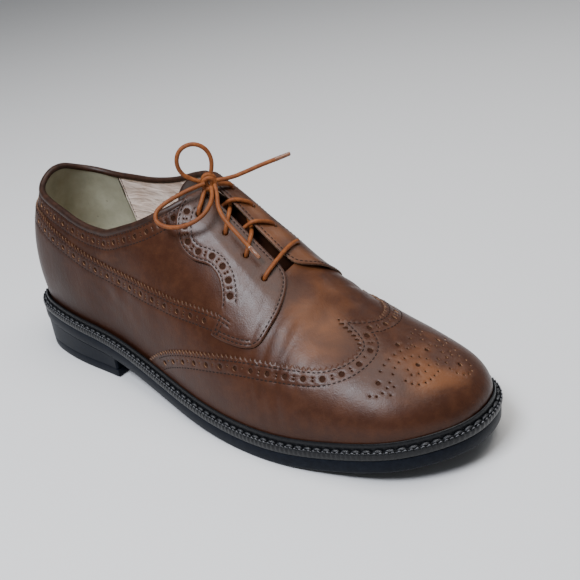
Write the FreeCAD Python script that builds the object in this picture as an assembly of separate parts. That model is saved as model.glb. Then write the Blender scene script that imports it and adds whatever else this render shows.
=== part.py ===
"""Right-foot derby shoe with full brogue (wing tip) leather upper and storm-welted sole.

Millimetres. +X runs to the toe, +Y to the inner (medial) side of the foot, +Z up. The shape starts
from the shoemaker's last: sections of the foot from the heel (station 0) to the toe (station 14).
A place on the last is (station, w): w is -1 on the outer feather line, where the last meets the
insole, 0 on the top ridge and +1 on the inner feather line. Leather pieces are layers over it.
"""
import FreeCAD
import Part
import math
import os

V = FreeCAD.Vector
PLAN = FreeCAD.Base.Vector2d

# Driving dimensions
LINING_LAYER = (0.0, 0.9)        # offset from the last, thickness
STIFFENER_LAYER = (1.05, 0.7)
QUARTER_LAYER = (1.9, 0.9)
VAMP_LAYER = (2.95, 1.0)
OVERLAY_LAYER = (4.1, 1.0)
BINDING_LAYER = (2.95, 0.6)
TONGUE_LAYER = (-4.4, 1.3)
INSOLE_THICKNESS = 2.5
FILLER_GAP = 3.0                 # space between insole and outsole
OUTSOLE_THICKNESS = 7.5
WELT_REACH = 8.5                 # from the feather line to the sole edge
WELT_INNER = 5.5
HEEL_BREAST_X = 80.0
TOP_PIECE_THICKNESS = 6.0
LACE_RADIUS = 1.15
EYELET_HOLE_RADIUS = 1.65
LINING_HOLE_RADIUS = 2.4         # the lining's holes are wider, where the lace turns under it
EYELET_RING_RADIUS = 2.8
AGLET_RADIUS = 1.35
LAST_TOE_STATION = 13.97         # the layers stop a hair before the pole of the toe

# Sections of the last, one value per station
FEATHER_X = [0, 7, 24, 48, 75, 102, 130, 158, 186, 214, 240, 262, 277, 285.5, 288]
OUTER_Y = [0, -20.5, -28.5, -31.5, -32, -35, -40, -45, -47.5, -46.5, -41, -33.5, -21.5, -8.5, 4]
INNER_Y = [0, 20, 28.5, 30, 28, 26.5, 29, 35.5, 42, 44.5, 42.5, 36.5, 28, 17.5, 4]
RIDGE_X = [30, 32, 40, 56, 80, 104, 130, 158, 186, 214, 240, 262, 277, 285.5, 288]
RIDGE_Y = [0, 0, 0, 0, 0, 1.5, 7, 6.5, 5, 4, 4, 4, 4, 4, 4]
RIDGE_Z = [123, 123, 123.5, 126, 130, 126.5, 115.5, 97.5, 78, 62.5, 51.5, 44, 37.5, 31, 25.5]
WALL_RISE = [.35, .35, .36, .40, .44, .48, .5, .5, .5, .52, .55, .58, .6, .6, .6]
OUTER_FULLNESS = [.93, .93, .90, .83, .76, .66, .55, .5, .5, .52, .56, .60, .62, .62, .62]
INNER_FULLNESS = [.93, .93, .90, .83, .77, .70, .65, .63, .58, .50, .46, .50, .56, .60, .62]
WALL_BULGE = [6, 6, 5.5, 5, 4, 3, 2, 2, 2.5, 3, 3, 3, 2.5, 1.5, 0]
# Height of the feather line above the ground at x = 0, 40, 80 ... 320
FEATHER_Z = [34, 31, 26.5, 20.5, 15, 13.05, 16.5, 23.5, 31.5]
FEATHER_Z_STEP = 40.0


def spline(values, flat_start=False, flat_end=False):
    """Cubic spline through values at 0, 1, 2 ..., with flat or natural ends."""
    n = len(values)
    below = [1.0] * n
    middle = [4.0] * n
    above = [1.0] * n
    right = [0.0] * n
    for i in range(1, n - 1):
        right[i] = 3.0 * (values[i + 1] - values[i - 1])
    if flat_start:
        middle[0], above[0] = 1.0, 0.0
    else:
        middle[0], right[0] = 2.0, 3.0 * (values[1] - values[0])
    if flat_end:
        middle[-1], below[-1] = 1.0, 0.0
    else:
        middle[-1], right[-1] = 2.0, 3.0 * (values[-1] - values[-2])
    for i in range(1, n):
        share = below[i] / middle[i - 1]
        middle[i] -= share * above[i - 1]
        right[i] -= share * right[i - 1]
    slope = [0.0] * n
    slope[-1] = right[-1] / middle[-1]
    for i in range(n - 2, -1, -1):
        slope[i] = (right[i] - above[i] * slope[i + 1]) / middle[i]

    def value(at):
        i = min(max(int(at), 0), n - 2)
        t = at - i
        start = values[i] * (1 + 2 * t) * (1 - t) ** 2 + slope[i] * t * (1 - t) ** 2
        return start + values[i + 1] * t * t * (3 - 2 * t) + slope[i + 1] * t * t * (t - 1)

    return value


feather_x = spline(FEATHER_X, True, True)
outer_y = spline(OUTER_Y)
inner_y = spline(INNER_Y)
ridge_x = spline(RIDGE_X, True, True)
ridge_y = spline(RIDGE_Y, True, True)
ridge_z = spline(RIDGE_Z, True, False)
wall_rise = spline(WALL_RISE)
outer_fullness = spline(OUTER_FULLNESS)
inner_fullness = spline(INNER_FULLNESS)
wall_bulge = spline(WALL_BULGE)
feather_z_spline = spline(FEATHER_Z)


def feather_z(x):
    return feather_z_spline(x / FEATHER_Z_STEP)


def last_point(station, w):
    """Point of the last: a cubic curve from the feather line up to the ridge."""
    side = -1.0 if w < 0 else 1.0
    t = 1.0 - abs(w)
    x = feather_x(station)
    foot = V(x, outer_y(station) if w < 0 else inner_y(station), feather_z(x))
    top = V(ridge_x(station), ridge_y(station), ridge_z(station))
    out = V(foot.x - top.x, foot.y - top.y, 0)
    reach = out.Length
    out = out * (1.0 / reach) if reach > 1e-6 else V(0, side, 0)
    fullness = outer_fullness(station) if w < 0 else inner_fullness(station)
    low = foot + V(0, 0, wall_rise(station) * (top.z - foot.z)) + out * wall_bulge(station)
    high = top + out * (fullness * reach)
    return foot * (1 - t) ** 3 + low * (3 * t * (1 - t) ** 2) + high * (3 * t * t * (1 - t)) + top * t ** 3


def last_normal(station, w):
    """Outward unit normal of the last."""
    step = 0.002
    station = min(max(station, step), 14 - 5 * step)
    if abs(w) < 2 * step:
        w = 2 * step if w >= 0 else -2 * step
    along = last_point(station + step, w) - last_point(station - step, w)
    across = last_point(station, w + step) - last_point(station, w - step)
    normal = along.cross(across)
    return normal.normalize()


def over(station, w, offset):
    """Point at an offset outside the last."""
    return last_point(station, w) + last_normal(station, w) * offset


def curve_poles(points):
    """Poles of the uniform cubic B-spline through the points, with one pole beyond each end."""
    n = len(points)
    factor = [0.0] * n
    part = [points[0]] * n
    for i in range(1, n - 1):
        scale = 1.0 / (4.0 - factor[i - 1])
        factor[i] = scale
        part[i] = (points[i] * 6.0 - part[i - 1]) * scale
    poles = list(points)
    for i in range(n - 2, 0, -1):
        poles[i] = part[i] - poles[i + 1] * factor[i]
    return [poles[0] * 2 - poles[1]] + poles + [poles[-1] * 2 - poles[-2]]


def fitted_surface(place, start, end, low, high, step_along=0.25, step_across=0.05):
    """B-spline surface whose parameters are the two arguments of place."""
    n_along = round((end - start) / step_along) + 1
    n_across = round((high - low) / step_across) + 1
    along = (end - start) / (n_along - 1)
    across = (high - low) / (n_across - 1)
    rows = []
    for i in range(n_along):
        rows.append([place(start + along * i, low + across * j) for j in range(n_across)])
    rows = [curve_poles(row) for row in rows]
    columns = [curve_poles([row[j] for row in rows]) for j in range(n_across + 2)]
    grid = [[column[i] for column in columns] for i in range(n_along + 2)]
    knots_along = [start + along * (k - 3) for k in range(n_along + 6)]
    knots_across = [low + across * (k - 3) for k in range(n_across + 6)]
    surface = Part.BSplineSurface()
    surface.buildFromPolesMultsKnots(grid, [1] * len(knots_along), [1] * len(knots_across),
                                     knots_along, knots_across, False, False, 3, 3)
    surface.segment(start, end, low, high)
    return surface


def body_surface(offset):
    """Whole upper at an offset, over (station, w), open along the back seam."""
    return fitted_surface(lambda s, w: over(s, w, offset), 0.0, 14.0, -1.03, 1.03,
                          0.25, 0.0515)


def heel_surface(offset):
    """Back of the upper, over (signed station, height share): negative stations are the outer side."""
    def place(signed, share):
        side = -1.0 if signed < 0 else 1.0
        return over(abs(signed), side * (1.0 - share), offset)
    return fitted_surface(place, -6.5, 6.5, -0.03, 0.92, 0.25, 0.05)


def panel(surface, outline, thickness):
    """Leather piece: the part of the surface inside the outline, thickened along its normal.

    The outline is a closed chain of runs; a run of two places is straight, a longer one is smooth.
    """
    edges = []
    for run in outline:
        places = [PLAN(*place) for place in run]
        if len(places) == 2:
            curve = Part.Geom2d.Line2dSegment(*places)
        else:
            curve = Part.Geom2d.BSplineCurve2d()
            curve.interpolate(places)
        edges.append(curve.toShape(surface))
    pieces, _ = surface.toShape().generalFuse([Part.Wire(edges)], 1e-3)
    inside = [face for face in pieces.Faces if len(face.Wires) == 1]
    return inside[0].makeOffsetShape(thickness, 1e-3, fill=True)


def inner_side(run):
    """The run mirrored to the inner side; the front of the shoe leans to the outer side."""
    mirrored = []
    for station, w in run:
        lean = 0.18 * min(max((station - 4.0) / 2.0, 0.0), 1.0)
        mirrored.append((station, -w - lean * (1 - abs(w))))
    return mirrored


# Lines of the upper, as places (station, w)
TOPLINE = [(.012, -.295), (.35, -.303), (.8, -.338), (1.3, -.372), (1.86, -.40), (2.55, -.436),
           (3.03, -.476), (3.4, -.508), (3.73, -.528), (4.06, -.535), (4.3, -.528), (4.69, -.493),
           (5.2, -.426), (5.59, -.339), (5.75, -.292), (5.9, -.232), (6.05, -.17), (6.14, -.132)]
INNER_TOPLINE = [(.012, .295), (.35, .305), (.9, .345), (1.7, .385), (2.4, .415), (3.2, .436),
                 (3.9, .44), (4.7, .385), (5.3, .28), (5.6, .2), (5.85, .1), (5.98, .01),
                 (6.0, -.028)]
FOXING_EDGE = [(.012, -.46), (.6, -.462), (1.2, -.472), (1.8, -.495), (2.33, -.538), (2.85, -.585),
               (3.42, -.637), (4.1, -.674), (5, -.686), (5.9, -.666), (6.5, -.63), (7.16, -.567),
               (7.45, -.535), (7.72, -.46), (7.9, -.34), (8.0, -.2), (8.03, -.09)]
FACING_REAR = [(5.97, -.2), (5.95, -.26), (5.98, -.31), (6.04, -.355), (6.16, -.407), (6.29, -.43),
               (6.5, -.435), (6.71, -.416), (6.85, -.40), (6.96, -.397), (7.09, -.404),
               (7.21, -.43), (7.32, -.482), (7.36, -.54)]
FACING_TAB = [(7.30, -.645), (7.52, -.637), (7.85, -.613), (8.1, -.583), (8.26, -.535), (8.32, -.46),
              (8.34, -.36), (8.31, -.28), (8.24, -.21), (8.12, -.15), (7.95, -.12), (7.7, -.115)]
WING_EDGE = [(5.42, -.985), (5.68, -.94), (6.06, -.886), (6.4, -.844), (6.84, -.792),
             (7.35, -.731), (7.8, -.674), (8.2, -.627), (8.59, -.585), (8.95, -.547), (9.3, -.51),
             (9.54, -.47), (9.75, -.407), (9.86, -.343), (9.90, -.284), (9.87, -.23),
             (9.74, -.197), (9.54, -.174), (9.24, -.155)]
INNER_WING_EDGE = [(9.24, -.155), (9.34, -.127), (9.54, -.07), (9.70, .018), (9.72, .12),
                   (9.6, .24), (9.35, .36), (9.0, .46), (8.5, .55), (8.0, .62), (7.35, .71),
                   (6.8, .78), (6.2, .865), (5.7, .94), (5.42, .985)]
EYELETS = [(6.33, -.242), (6.89, -.214), (7.38, -.222), (7.84, -.243)]
INNER_EYELETS = [(6.42, .05), (6.85, .075), (7.30, .10), (7.72, .15)]
LOW_EDGE = 1.015                 # the upper's lower edge, just under the feather line
FRONT_EDGE = -.115               # facing edge along the lacing gap
UNDER_EDGE = -.13                # the quarter stops behind the facing edge
LINING_EDGE = -.155              # and its lining behind that, clear of the lace


def closed(*runs):
    """Outline from runs, joined by straight lines where their ends differ."""
    chain = []
    for i, run in enumerate(runs):
        chain.append(run)
        follower = runs[(i + 1) % len(runs)][0]
        if run[-1] != follower:
            chain.append([run[-1], follower])
    return chain


def drilled(shape, places, radius):
    """The piece with a lace hole at each eyelet."""
    for place in places:
        base = over(*place, -3)
        drill = Part.makeCylinder(radius, 12, base, last_normal(*place))
        shape = shape.cut(drill)
    return shape


def pieces_over_the_last():
    lining = body_surface(LINING_LAYER[0])
    quarter_face = body_surface(QUARTER_LAYER[0])
    vamp_face = body_surface(VAMP_LAYER[0])
    overlay_face = body_surface(OVERLAY_LAYER[0])
    parts = {}

    rear = [place for place in TOPLINE if place[0] > 2.9]
    quarter_lining = closed([(3.12, -LOW_EDGE), (8.35, -LOW_EDGE)],
                            [(8.35, -.22), (8.1, -.175), (7.7, LINING_EDGE), (7.2, LINING_EDGE)],
                            [(7.2, LINING_EDGE), (6.4, LINING_EDGE), (6.14, UNDER_EDGE)], rear[::-1],
                            [rear[0], (3.05, -.6), (3.1, -.8), (3.12, -LOW_EDGE)])
    outer = panel(lining, quarter_lining, LINING_LAYER[1])
    parts["quarter_lining_lateral"] = drilled(outer, EYELETS, LINING_HOLE_RADIUS)
    inner_rear = [place for place in INNER_TOPLINE if place[0] > 2.3]
    inner_front = inner_side([(8.35, -.22), (8.1, -.175), (7.7, LINING_EDGE), (6.4, LINING_EDGE)])
    inner_lining = closed([(3.12, LOW_EDGE), (8.35, LOW_EDGE)], inner_front,
                          [inner_front[-1], (6.0, -.028)], inner_rear[::-1],
                          [inner_rear[0], (2.44, .56), (2.6, .7), (2.85, .85), (3.12, LOW_EDGE)])
    inner = panel(lining, inner_lining, LINING_LAYER[1])
    parts["quarter_lining_medial"] = drilled(inner, INNER_EYELETS, LINING_HOLE_RADIUS)
    front = closed([(8.45, -LOW_EDGE), (LAST_TOE_STATION, -LOW_EDGE)],
                   [(LAST_TOE_STATION, LOW_EDGE), (8.45, LOW_EDGE)])
    parts["vamp_lining"] = panel(lining, front, LINING_LAYER[1])
    puff = closed([(10.9, -.9), (13.9, -.9)], [(13.9, .9), (10.9, .9)],
                  [(10.9, .9), (10.6, .5), (10.5, 0), (10.6, -.5), (10.9, -.9)])
    parts["toe_puff"] = panel(body_surface(STIFFENER_LAYER[0]), puff, STIFFENER_LAYER[1])

    heel_face = heel_surface(LINING_LAYER[0])
    heel_top = [(signed, 1 - abs(w)) for signed, w in
                [(-3.0, -.471), (-2.55, -.436), (-1.86, -.40), (-1.3, -.372), (-.8, -.338),
                 (-.35, -.303), (0, -.295), (.35, -.305), (.9, -.345), (1.7, -.385), (2.33, -.412)]]
    heel_lining = closed(heel_top, [heel_top[-1], (2.37, .44), (2.53, .3), (2.78, .15), (3.0, -.015)],
                         [(-3.0, -.015), (-3.0, .2), (-3.0, .4), heel_top[0]])
    parts["heel_lining"] = panel(heel_face, heel_lining, -LINING_LAYER[1])
    counter = closed([(-3.9, .03), (3.9, .03)],
                     [(3.9, .03), (3.4, .3), (2.3, .44), (1, .56), (0, .62), (-1, .56), (-2.3, .44),
                      (-3.4, .3), (-3.9, .03)])
    parts["heel_counter"] = panel(heel_surface(STIFFENER_LAYER[0]), counter, -STIFFENER_LAYER[1])

    under_foxing = [(station, w - .09) for station, w in FOXING_EDGE if station < 7.5]
    quarter = closed(under_foxing, [(7.6, -.5), (7.86, -.4), (7.98, -.25), (7.96, -.16)],
                     [(7.7, UNDER_EDGE), (6.14, UNDER_EDGE)], TOPLINE[::-1])
    outer = panel(quarter_face, quarter, QUARTER_LAYER[1])
    parts["quarter_lateral"] = drilled(outer, EYELETS, EYELET_HOLE_RADIUS)
    inner_front = inner_side([(7.6, -.5), (7.86, -.4), (7.98, -.25), (7.96, -.16)])
    quarter = closed(inner_side(under_foxing), inner_front,
                     inner_side([(7.7, UNDER_EDGE), (6.3, UNDER_EDGE)]), INNER_TOPLINE[::-1])
    inner = panel(quarter_face, quarter, QUARTER_LAYER[1])
    parts["quarter_medial"] = drilled(inner, INNER_EYELETS, EYELET_HOLE_RADIUS)

    throat = inner_side(FOXING_EDGE)[::-1]
    vamp = closed(FOXING_EDGE, throat, [(.012, LOW_EDGE), (LAST_TOE_STATION, LOW_EDGE)],
                  [(LAST_TOE_STATION, -LOW_EDGE), (.012, -LOW_EDGE)])
    parts["vamp"] = panel(vamp_face, vamp, VAMP_LAYER[1])

    top = [(5.97, -.2), (6.06, -.16), (6.12, FRONT_EDGE)]
    facing = closed(FACING_REAR, FACING_TAB, [(7.7, FRONT_EDGE), (6.12, FRONT_EDGE)], top[::-1])
    outer = panel(overlay_face, facing, OVERLAY_LAYER[1])
    parts["facing_lateral"] = drilled(outer, EYELETS, EYELET_HOLE_RADIUS)
    facing = closed(inner_side(FACING_REAR), inner_side(FACING_TAB),
                    inner_side([(7.7, FRONT_EDGE), (6.12, FRONT_EDGE)]), inner_side(top[::-1]))
    inner = panel(overlay_face, facing, OVERLAY_LAYER[1])
    parts["facing_medial"] = drilled(inner, INNER_EYELETS, EYELET_HOLE_RADIUS)

    wing = closed(WING_EDGE, INNER_WING_EDGE, [(5.42, LOW_EDGE), (LAST_TOE_STATION, LOW_EDGE)],
                  [(LAST_TOE_STATION, -LOW_EDGE), (5.42, -LOW_EDGE)])
    parts["wing_cap"] = panel(overlay_face, wing, OVERLAY_LAYER[1])

    collar = [(-station, 1 + w) for station, w in TOPLINE[-3::-1] if station > .3]
    collar += [(0, .705)] + [(station, 1 - w) for station, w in INNER_TOPLINE[1:-2]]
    lower = [(signed, share - .045) for signed, share in collar]
    parts["topline_binding"] = panel(heel_surface(BINDING_LAYER[0]), closed(collar, lower[::-1]),
                                     -BINDING_LAYER[1])

    tongue = closed([(5.9, -.3), (7, -.36), (8.3, -.34)], [(8.3, -.34), (8.3, .26)],
                    [(8.3, .26), (7, .24), (5.9, .16)],
                    [(5.9, .16), (5.72, .06), (5.68, -.06), (5.72, -.2), (5.9, -.3)])
    parts["tongue"] = panel(body_surface(TONGUE_LAYER[0]), tongue, TONGUE_LAYER[1])
    return parts


def eyelet_rings():
    parts = {}
    for side, places in (("lateral", EYELETS), ("medial", INNER_EYELETS)):
        for number, place in enumerate(places, 1):
            base = over(*place, 3.05)
            axis = last_normal(*place)
            ring = Part.makeCylinder(EYELET_RING_RADIUS, 0.7, base, axis)
            bore = Part.makeCylinder(EYELET_HOLE_RADIUS, 3, base - axis, axis)
            parts[f"blind_eyelet_{side}_{number}"] = ring.cut(bore)
    return parts


def plan_prism(reach, low=-20.0, high=90.0):
    """Vertical prism whose outline runs at a distance outside the feather line."""
    count = 28
    ring = []
    for i in range(count):
        station = 14.0 * i / count
        ring.append(V(feather_x(station), outer_y(station), 0))
    for i in range(count, 0, -1):
        station = 14.0 * i / count
        ring.append(V(feather_x(station), inner_y(station), 0))
    moved = []
    for i, point in enumerate(ring):
        along = ring[(i + 1) % len(ring)] - ring[i - 1]
        out = V(along.y, -along.x, 0).normalize()
        moved.append(point + out * reach + V(0, 0, low))
    curve = Part.BSplineCurve()
    curve.interpolate(moved, PeriodicFlag=True)
    return Part.Face(Part.Wire(curve.toShape())).extrude(V(0, 0, high - low))


def slice_between(bottom, top, start=-20.0, end=310.0):
    """Slab between two depths under the feather line, full width, following the foot's rocker."""
    lines = []
    for depth in (bottom, top):
        points = []
        for i in range(17):
            x = start + (end - start) * i / 16
            points.append(V(x, -90, feather_z(x) + depth))
        curve = Part.BSplineCurve()
        curve.interpolate(points)
        lines.append(curve.toShape())
    low, high = lines
    rear = Part.makeLine(low.firstVertex().Point, high.firstVertex().Point)
    front = Part.makeLine(low.lastVertex().Point, high.lastVertex().Point)
    face = Part.Face(Part.Wire(Part.__sortEdges__([low, front, high, rear])))
    return face.extrude(V(0, 180, 0))


def bottom_parts():
    insole_low = -INSOLE_THICKNESS
    sole_top = insole_low - FILLER_GAP
    sole_low = sole_top - OUTSOLE_THICKNESS
    parts = {}
    edge = plan_prism(WELT_REACH)
    parts["outsole"] = edge.common(slice_between(sole_low, sole_top))
    inside = plan_prism(WELT_INNER)
    shelf = edge.common(slice_between(sole_top, -1.5)).cut(inside)
    ridge = plan_prism(WELT_INNER + 1.9).common(slice_between(-1.5, 2.2)).cut(inside)
    parts["welt"] = shelf.fuse(ridge).removeSplitter()
    parts["insole"] = plan_prism(-.4).common(slice_between(insole_low, 0))
    parts["sock_liner"] = plan_prism(-2.6).common(slice_between(.15, 1.15))
    rib = slice_between(sole_top + .1, insole_low - .1)
    parts["insole_rib"] = plan_prism(-1).common(rib).cut(plan_prism(-3.5))
    filler = plan_prism(-4).common(rib)
    shank_place = Part.makeBox(118, 15, 60, V(28, -9, 0))
    shank_layer = slice_between(sole_top + .3, sole_top + 1.8)
    parts["shank"] = shank_place.common(shank_layer)
    shank_room = Part.makeBox(118.6, 15.6, 60, V(27.7, -9.3, 0))
    parts["cork_filler"] = filler.cut(shank_room)

    heel_plan = plan_prism(WELT_REACH - .2)
    breast = Part.makeBox(120, 200, 80, V(HEEL_BREAST_X - 120, -100, 0))
    under_sole = slice_between(-80, sole_low, end=HEEL_BREAST_X + 20)
    block = heel_plan.common(breast).common(under_sole)
    ground = Part.makeBox(200, 200, TOP_PIECE_THICKNESS, V(-60, -100, 0))
    parts["heel_top_piece"] = block.common(ground)
    parts["heel_block"] = block.cut(ground)
    return parts


def tube(route, radius):
    """Cord along straight runs joined by tangent arcs; returns the solid and the arcs' radii."""
    edges = []
    radii = []
    start = route[0]
    for i in range(1, len(route) - 1):
        before = route[i] - route[i - 1]
        after = route[i + 1] - route[i]
        turn = before.getAngle(after)
        trim = 0.45 * min(before.Length, after.Length)
        bend = trim / math.tan(turn / 2)
        radii.append(round(bend, 1))
        entry = route[i] - before * (trim / before.Length)
        leave = route[i] + after * (trim / after.Length)
        pull = leave + entry - route[i] * 2
        centre = route[i] + pull * (math.hypot(bend, trim) / pull.Length)
        crown = centre + (route[i] - centre).normalize() * bend
        edges.append(Part.LineSegment(start, entry).toShape())
        edges.append(Part.Arc(entry, crown, leave).toShape())
        start = leave
    edges.append(Part.LineSegment(start, route[-1]).toShape())
    path = Part.Wire(edges)
    ring = Part.makeCircle(radius, route[0], route[1] - route[0])
    solid = path.makePipeShell([Part.Wire(ring)], True, False)
    share = solid.Volume / (math.pi * radius ** 2 * path.Length)
    print(f"  length {path.Length:.1f}, volume share {share:.4f}, radii {radii}")
    return solid


# The knot of the bow, and the free stretches of the lace; the lace lies over the facings
KNOT = V(141, -2.5, 120)
KNOT_RADIUS = 4.6
SEAT_RADIUS = LACE_RADIUS + 0.1   # of the hole in the knot that each strand comes out of
UPPER_LOOP = [(142, -1.9, 123), (143.2, -.6, 128.6), (142.8, -.4, 134.2), (140.6, -2.4, 139.3),
              (136.4, -6.4, 141.8), (132, -10.8, 139.8), (129.9, -12.8, 134.6), (130, -12.4, 128.6),
              (132.8, -9.9, 123.6), (137.6, -5.2, 120.6)]
LOWER_LOOP = [(141.2, -6, 120.4), (138, -11.6, 119.6), (133, -17.8, 117.2), (128.4, -23.8, 114.4),
              (125.2, -28.8, 110.8), (127.2, -31.6, 106.4), (133.4, -30.8, 104.2),
              (140.6, -28.2, 104.4), (147, -24.4, 106.4), (150.8, -19, 109.6),
              (150.4, -12.6, 113.4), (147.6, -7.6, 116.4), (144.4, -4.9, 118.4)]
INNER_END = [(144, -.3, 120.6), (149, 5.4, 120.4), (155, 12.2, 122.6), (161, 18, 125.2),
             (166.4, 23.5, 126.9)]
OUTER_END = [(144.4, -2, 118.7), (148.2, -5, 115.6), (151.6, -9.4, 111.6), (156.6, -12, 106.4),
             (163, -12.6, 101.6), (169.2, -13.2, 97.2), (174.4, -13.6, 93.4)]
INNER_AGLET_END = (171.8, 28.9, 128.8)
OUTER_AGLET_END = (180.4, -13.9, 88.9)
TOP_RUN = 6.9                    # offset of the lace over the facings
EDGE_RUN = 7.3                   # and where it turns down over a facing's front edge
DEEP_RUN = -1.5                  # offset of the lace between the tongue and the lining


def held_route():
    """The lace's held stretch: knot, down the outer side, the straight bar, up the inner side."""
    route = [V(139.9, -4.8, 117.2)]

    def add(station, w, offset):
        route.append(over(station, w, offset))

    def through(place, inwards):
        for offset in ((TOP_RUN, DEEP_RUN) if inwards else (DEEP_RUN, TOP_RUN)):
            add(*place, offset)

    def cross(rise, middle, sink):
        add(*rise)
        add(*middle, 2.6)
        add(*sink)

    add(6.28, -.175, 7.6)
    through(EYELETS[0], True)
    cross((6.5, -.15, DEEP_RUN), (6.56, -.078), (6.63, -.044, EDGE_RUN))
    through(INNER_EYELETS[1], True)
    cross((7.1, -.012, DEEP_RUN), (7.18, -.08), (7.24, -.114, EDGE_RUN))
    through(EYELETS[2], True)
    through(EYELETS[3], False)
    add(7.83, -.14, 7.2)
    add(7.79, -.03, 7.4)
    add(7.75, .07, 7.2)
    through(INNER_EYELETS[3], True)
    through(INNER_EYELETS[2], False)
    cross((7.12, -.044, EDGE_RUN), (7.06, -.078), (7.0, -.148, DEEP_RUN))
    through(EYELETS[1], False)
    cross((6.74, -.114, EDGE_RUN), (6.68, -.08), (6.6, -.012, DEEP_RUN))
    through(INNER_EYELETS[0], False)
    add(6.34, -.01, 8.0)
    route.append(V(141.4, .2, 117.6))
    return route


def lace_parts():
    parts = {"lace_lacing": tube(held_route(), LACE_RADIUS)}
    free = {"lace_loop_upper": UPPER_LOOP, "lace_loop_lower": LOWER_LOOP,
            "lace_end_medial": INNER_END, "lace_end_lateral": OUTER_END}
    for name, route in free.items():
        print(name)
        parts[name] = tube([V(*point) for point in route], LACE_RADIUS)
    knot = Part.makeSphere(KNOT_RADIUS, KNOT)
    routes = [held_route()] + [[V(*point) for point in route] for route in free.values()]
    for route in routes:
        for end, following in ((route[0], route[1]), (route[-1], route[-2])):
            if (end - KNOT).Length < KNOT_RADIUS:
                seat = Part.makeCylinder(SEAT_RADIUS, 2 * KNOT_RADIUS, end, following - end)
                knot = knot.cut(seat)
    parts["lace_knot"] = knot
    for name, route, tip in (("aglet_medial", INNER_END, INNER_AGLET_END),
                             ("aglet_lateral", OUTER_END, OUTER_AGLET_END)):
        base = V(*route[-1])
        along = V(*tip) - base
        parts[name] = Part.makeCylinder(AGLET_RADIUS, along.Length, base, along)
    return parts


def main():
    os.makedirs("parts", exist_ok=True)
    shoe = bottom_parts()
    sole = shoe["outsole"].optimalBoundingBox(False)
    shift = V(-(sole.XMin + sole.XMax) / 2, -(sole.YMin + sole.YMax) / 2, 0)
    print("shift", shift, "sole", sole.XLength, sole.YLength, "lowest", sole.ZMin, flush=True)
    shoe.update(pieces_over_the_last())
    shoe.update(eyelet_rings())
    shoe.update(lace_parts())
    for name, shape in shoe.items():
        shape.translate(shift)
        shape.exportStep(f"parts/{name}.step")
        box = shape.BoundBox
        print(f"{name}: {shape.ShapeType} valid {shape.isValid()} solids {len(shape.Solids)} "
              f"volume {shape.Volume:.1f} z {box.ZMin:.1f}..{box.ZMax:.1f}")
    hinge = over(8.28, -.04, TONGUE_LAYER[0] + TONGUE_LAYER[1] / 2) + shift
    print("tongue hinge", hinge, "top of shoe", max(s.BoundBox.ZMax for s in shoe.values()))


main()
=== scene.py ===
"""Looks of a brown leather full-brogue derby shoe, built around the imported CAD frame."""
import math

import bmesh
import bpy
import numpy as np
from mathutils import Matrix, Vector
from mathutils.geometry import delaunay_2d_cdt
from mathutils.kdtree import KDTree


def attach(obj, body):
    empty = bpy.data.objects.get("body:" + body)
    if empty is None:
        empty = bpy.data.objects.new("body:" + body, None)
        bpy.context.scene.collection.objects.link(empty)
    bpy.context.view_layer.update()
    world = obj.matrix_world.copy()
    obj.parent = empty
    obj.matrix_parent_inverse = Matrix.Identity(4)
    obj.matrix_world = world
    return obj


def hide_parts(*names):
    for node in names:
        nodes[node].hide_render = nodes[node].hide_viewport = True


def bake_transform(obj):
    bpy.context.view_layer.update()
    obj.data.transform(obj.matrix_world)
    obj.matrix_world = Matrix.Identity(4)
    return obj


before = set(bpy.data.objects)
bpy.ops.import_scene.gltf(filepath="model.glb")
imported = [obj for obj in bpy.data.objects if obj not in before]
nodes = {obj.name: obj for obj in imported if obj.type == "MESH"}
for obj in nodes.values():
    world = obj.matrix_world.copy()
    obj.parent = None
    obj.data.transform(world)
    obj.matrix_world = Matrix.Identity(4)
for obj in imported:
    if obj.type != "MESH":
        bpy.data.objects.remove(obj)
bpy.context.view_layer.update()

MM = 0.001
SHIFT = np.array([-144.0003, 1.5739, 0.0])      # from the last's own frame, mm, to the row frame

# ---------------------------------------------------------------- the last, as in part.py (mm)
def spline(values, flat_start=False, flat_end=False):
    """Cubic spline through values at 0, 1, 2..., natural or flat at each end."""
    v = np.array(values, float)
    n = len(v)
    low, mid, high, right = np.ones(n), 4 * np.ones(n), np.ones(n), np.zeros(n)
    right[1:-1] = 3 * (v[2:] - v[:-2])
    mid[0], high[0], right[0] = (1, 0, 0) if flat_start else (2, 1, 3 * (v[1] - v[0]))
    mid[-1], low[-1], right[-1] = (1, 0, 0) if flat_end else (2, 1, 3 * (v[-1] - v[-2]))
    for i in range(1, n):
        share = low[i] / mid[i - 1]
        mid[i] -= share * high[i - 1]
        right[i] -= share * right[i - 1]
    slope = np.zeros(n)
    slope[-1] = right[-1] / mid[-1]
    for i in range(n - 2, -1, -1):
        slope[i] = (right[i] - high[i] * slope[i + 1]) / mid[i]

    def at(u):
        u = np.asarray(u, float)
        i = np.clip(u.astype(int), 0, n - 2)
        t = u - i
        return (v[i] * (1 + 2 * t) * (1 - t) ** 2 + slope[i] * t * (1 - t) ** 2
                + v[i + 1] * t * t * (3 - 2 * t) + slope[i + 1] * t * t * (t - 1))
    return at


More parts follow.
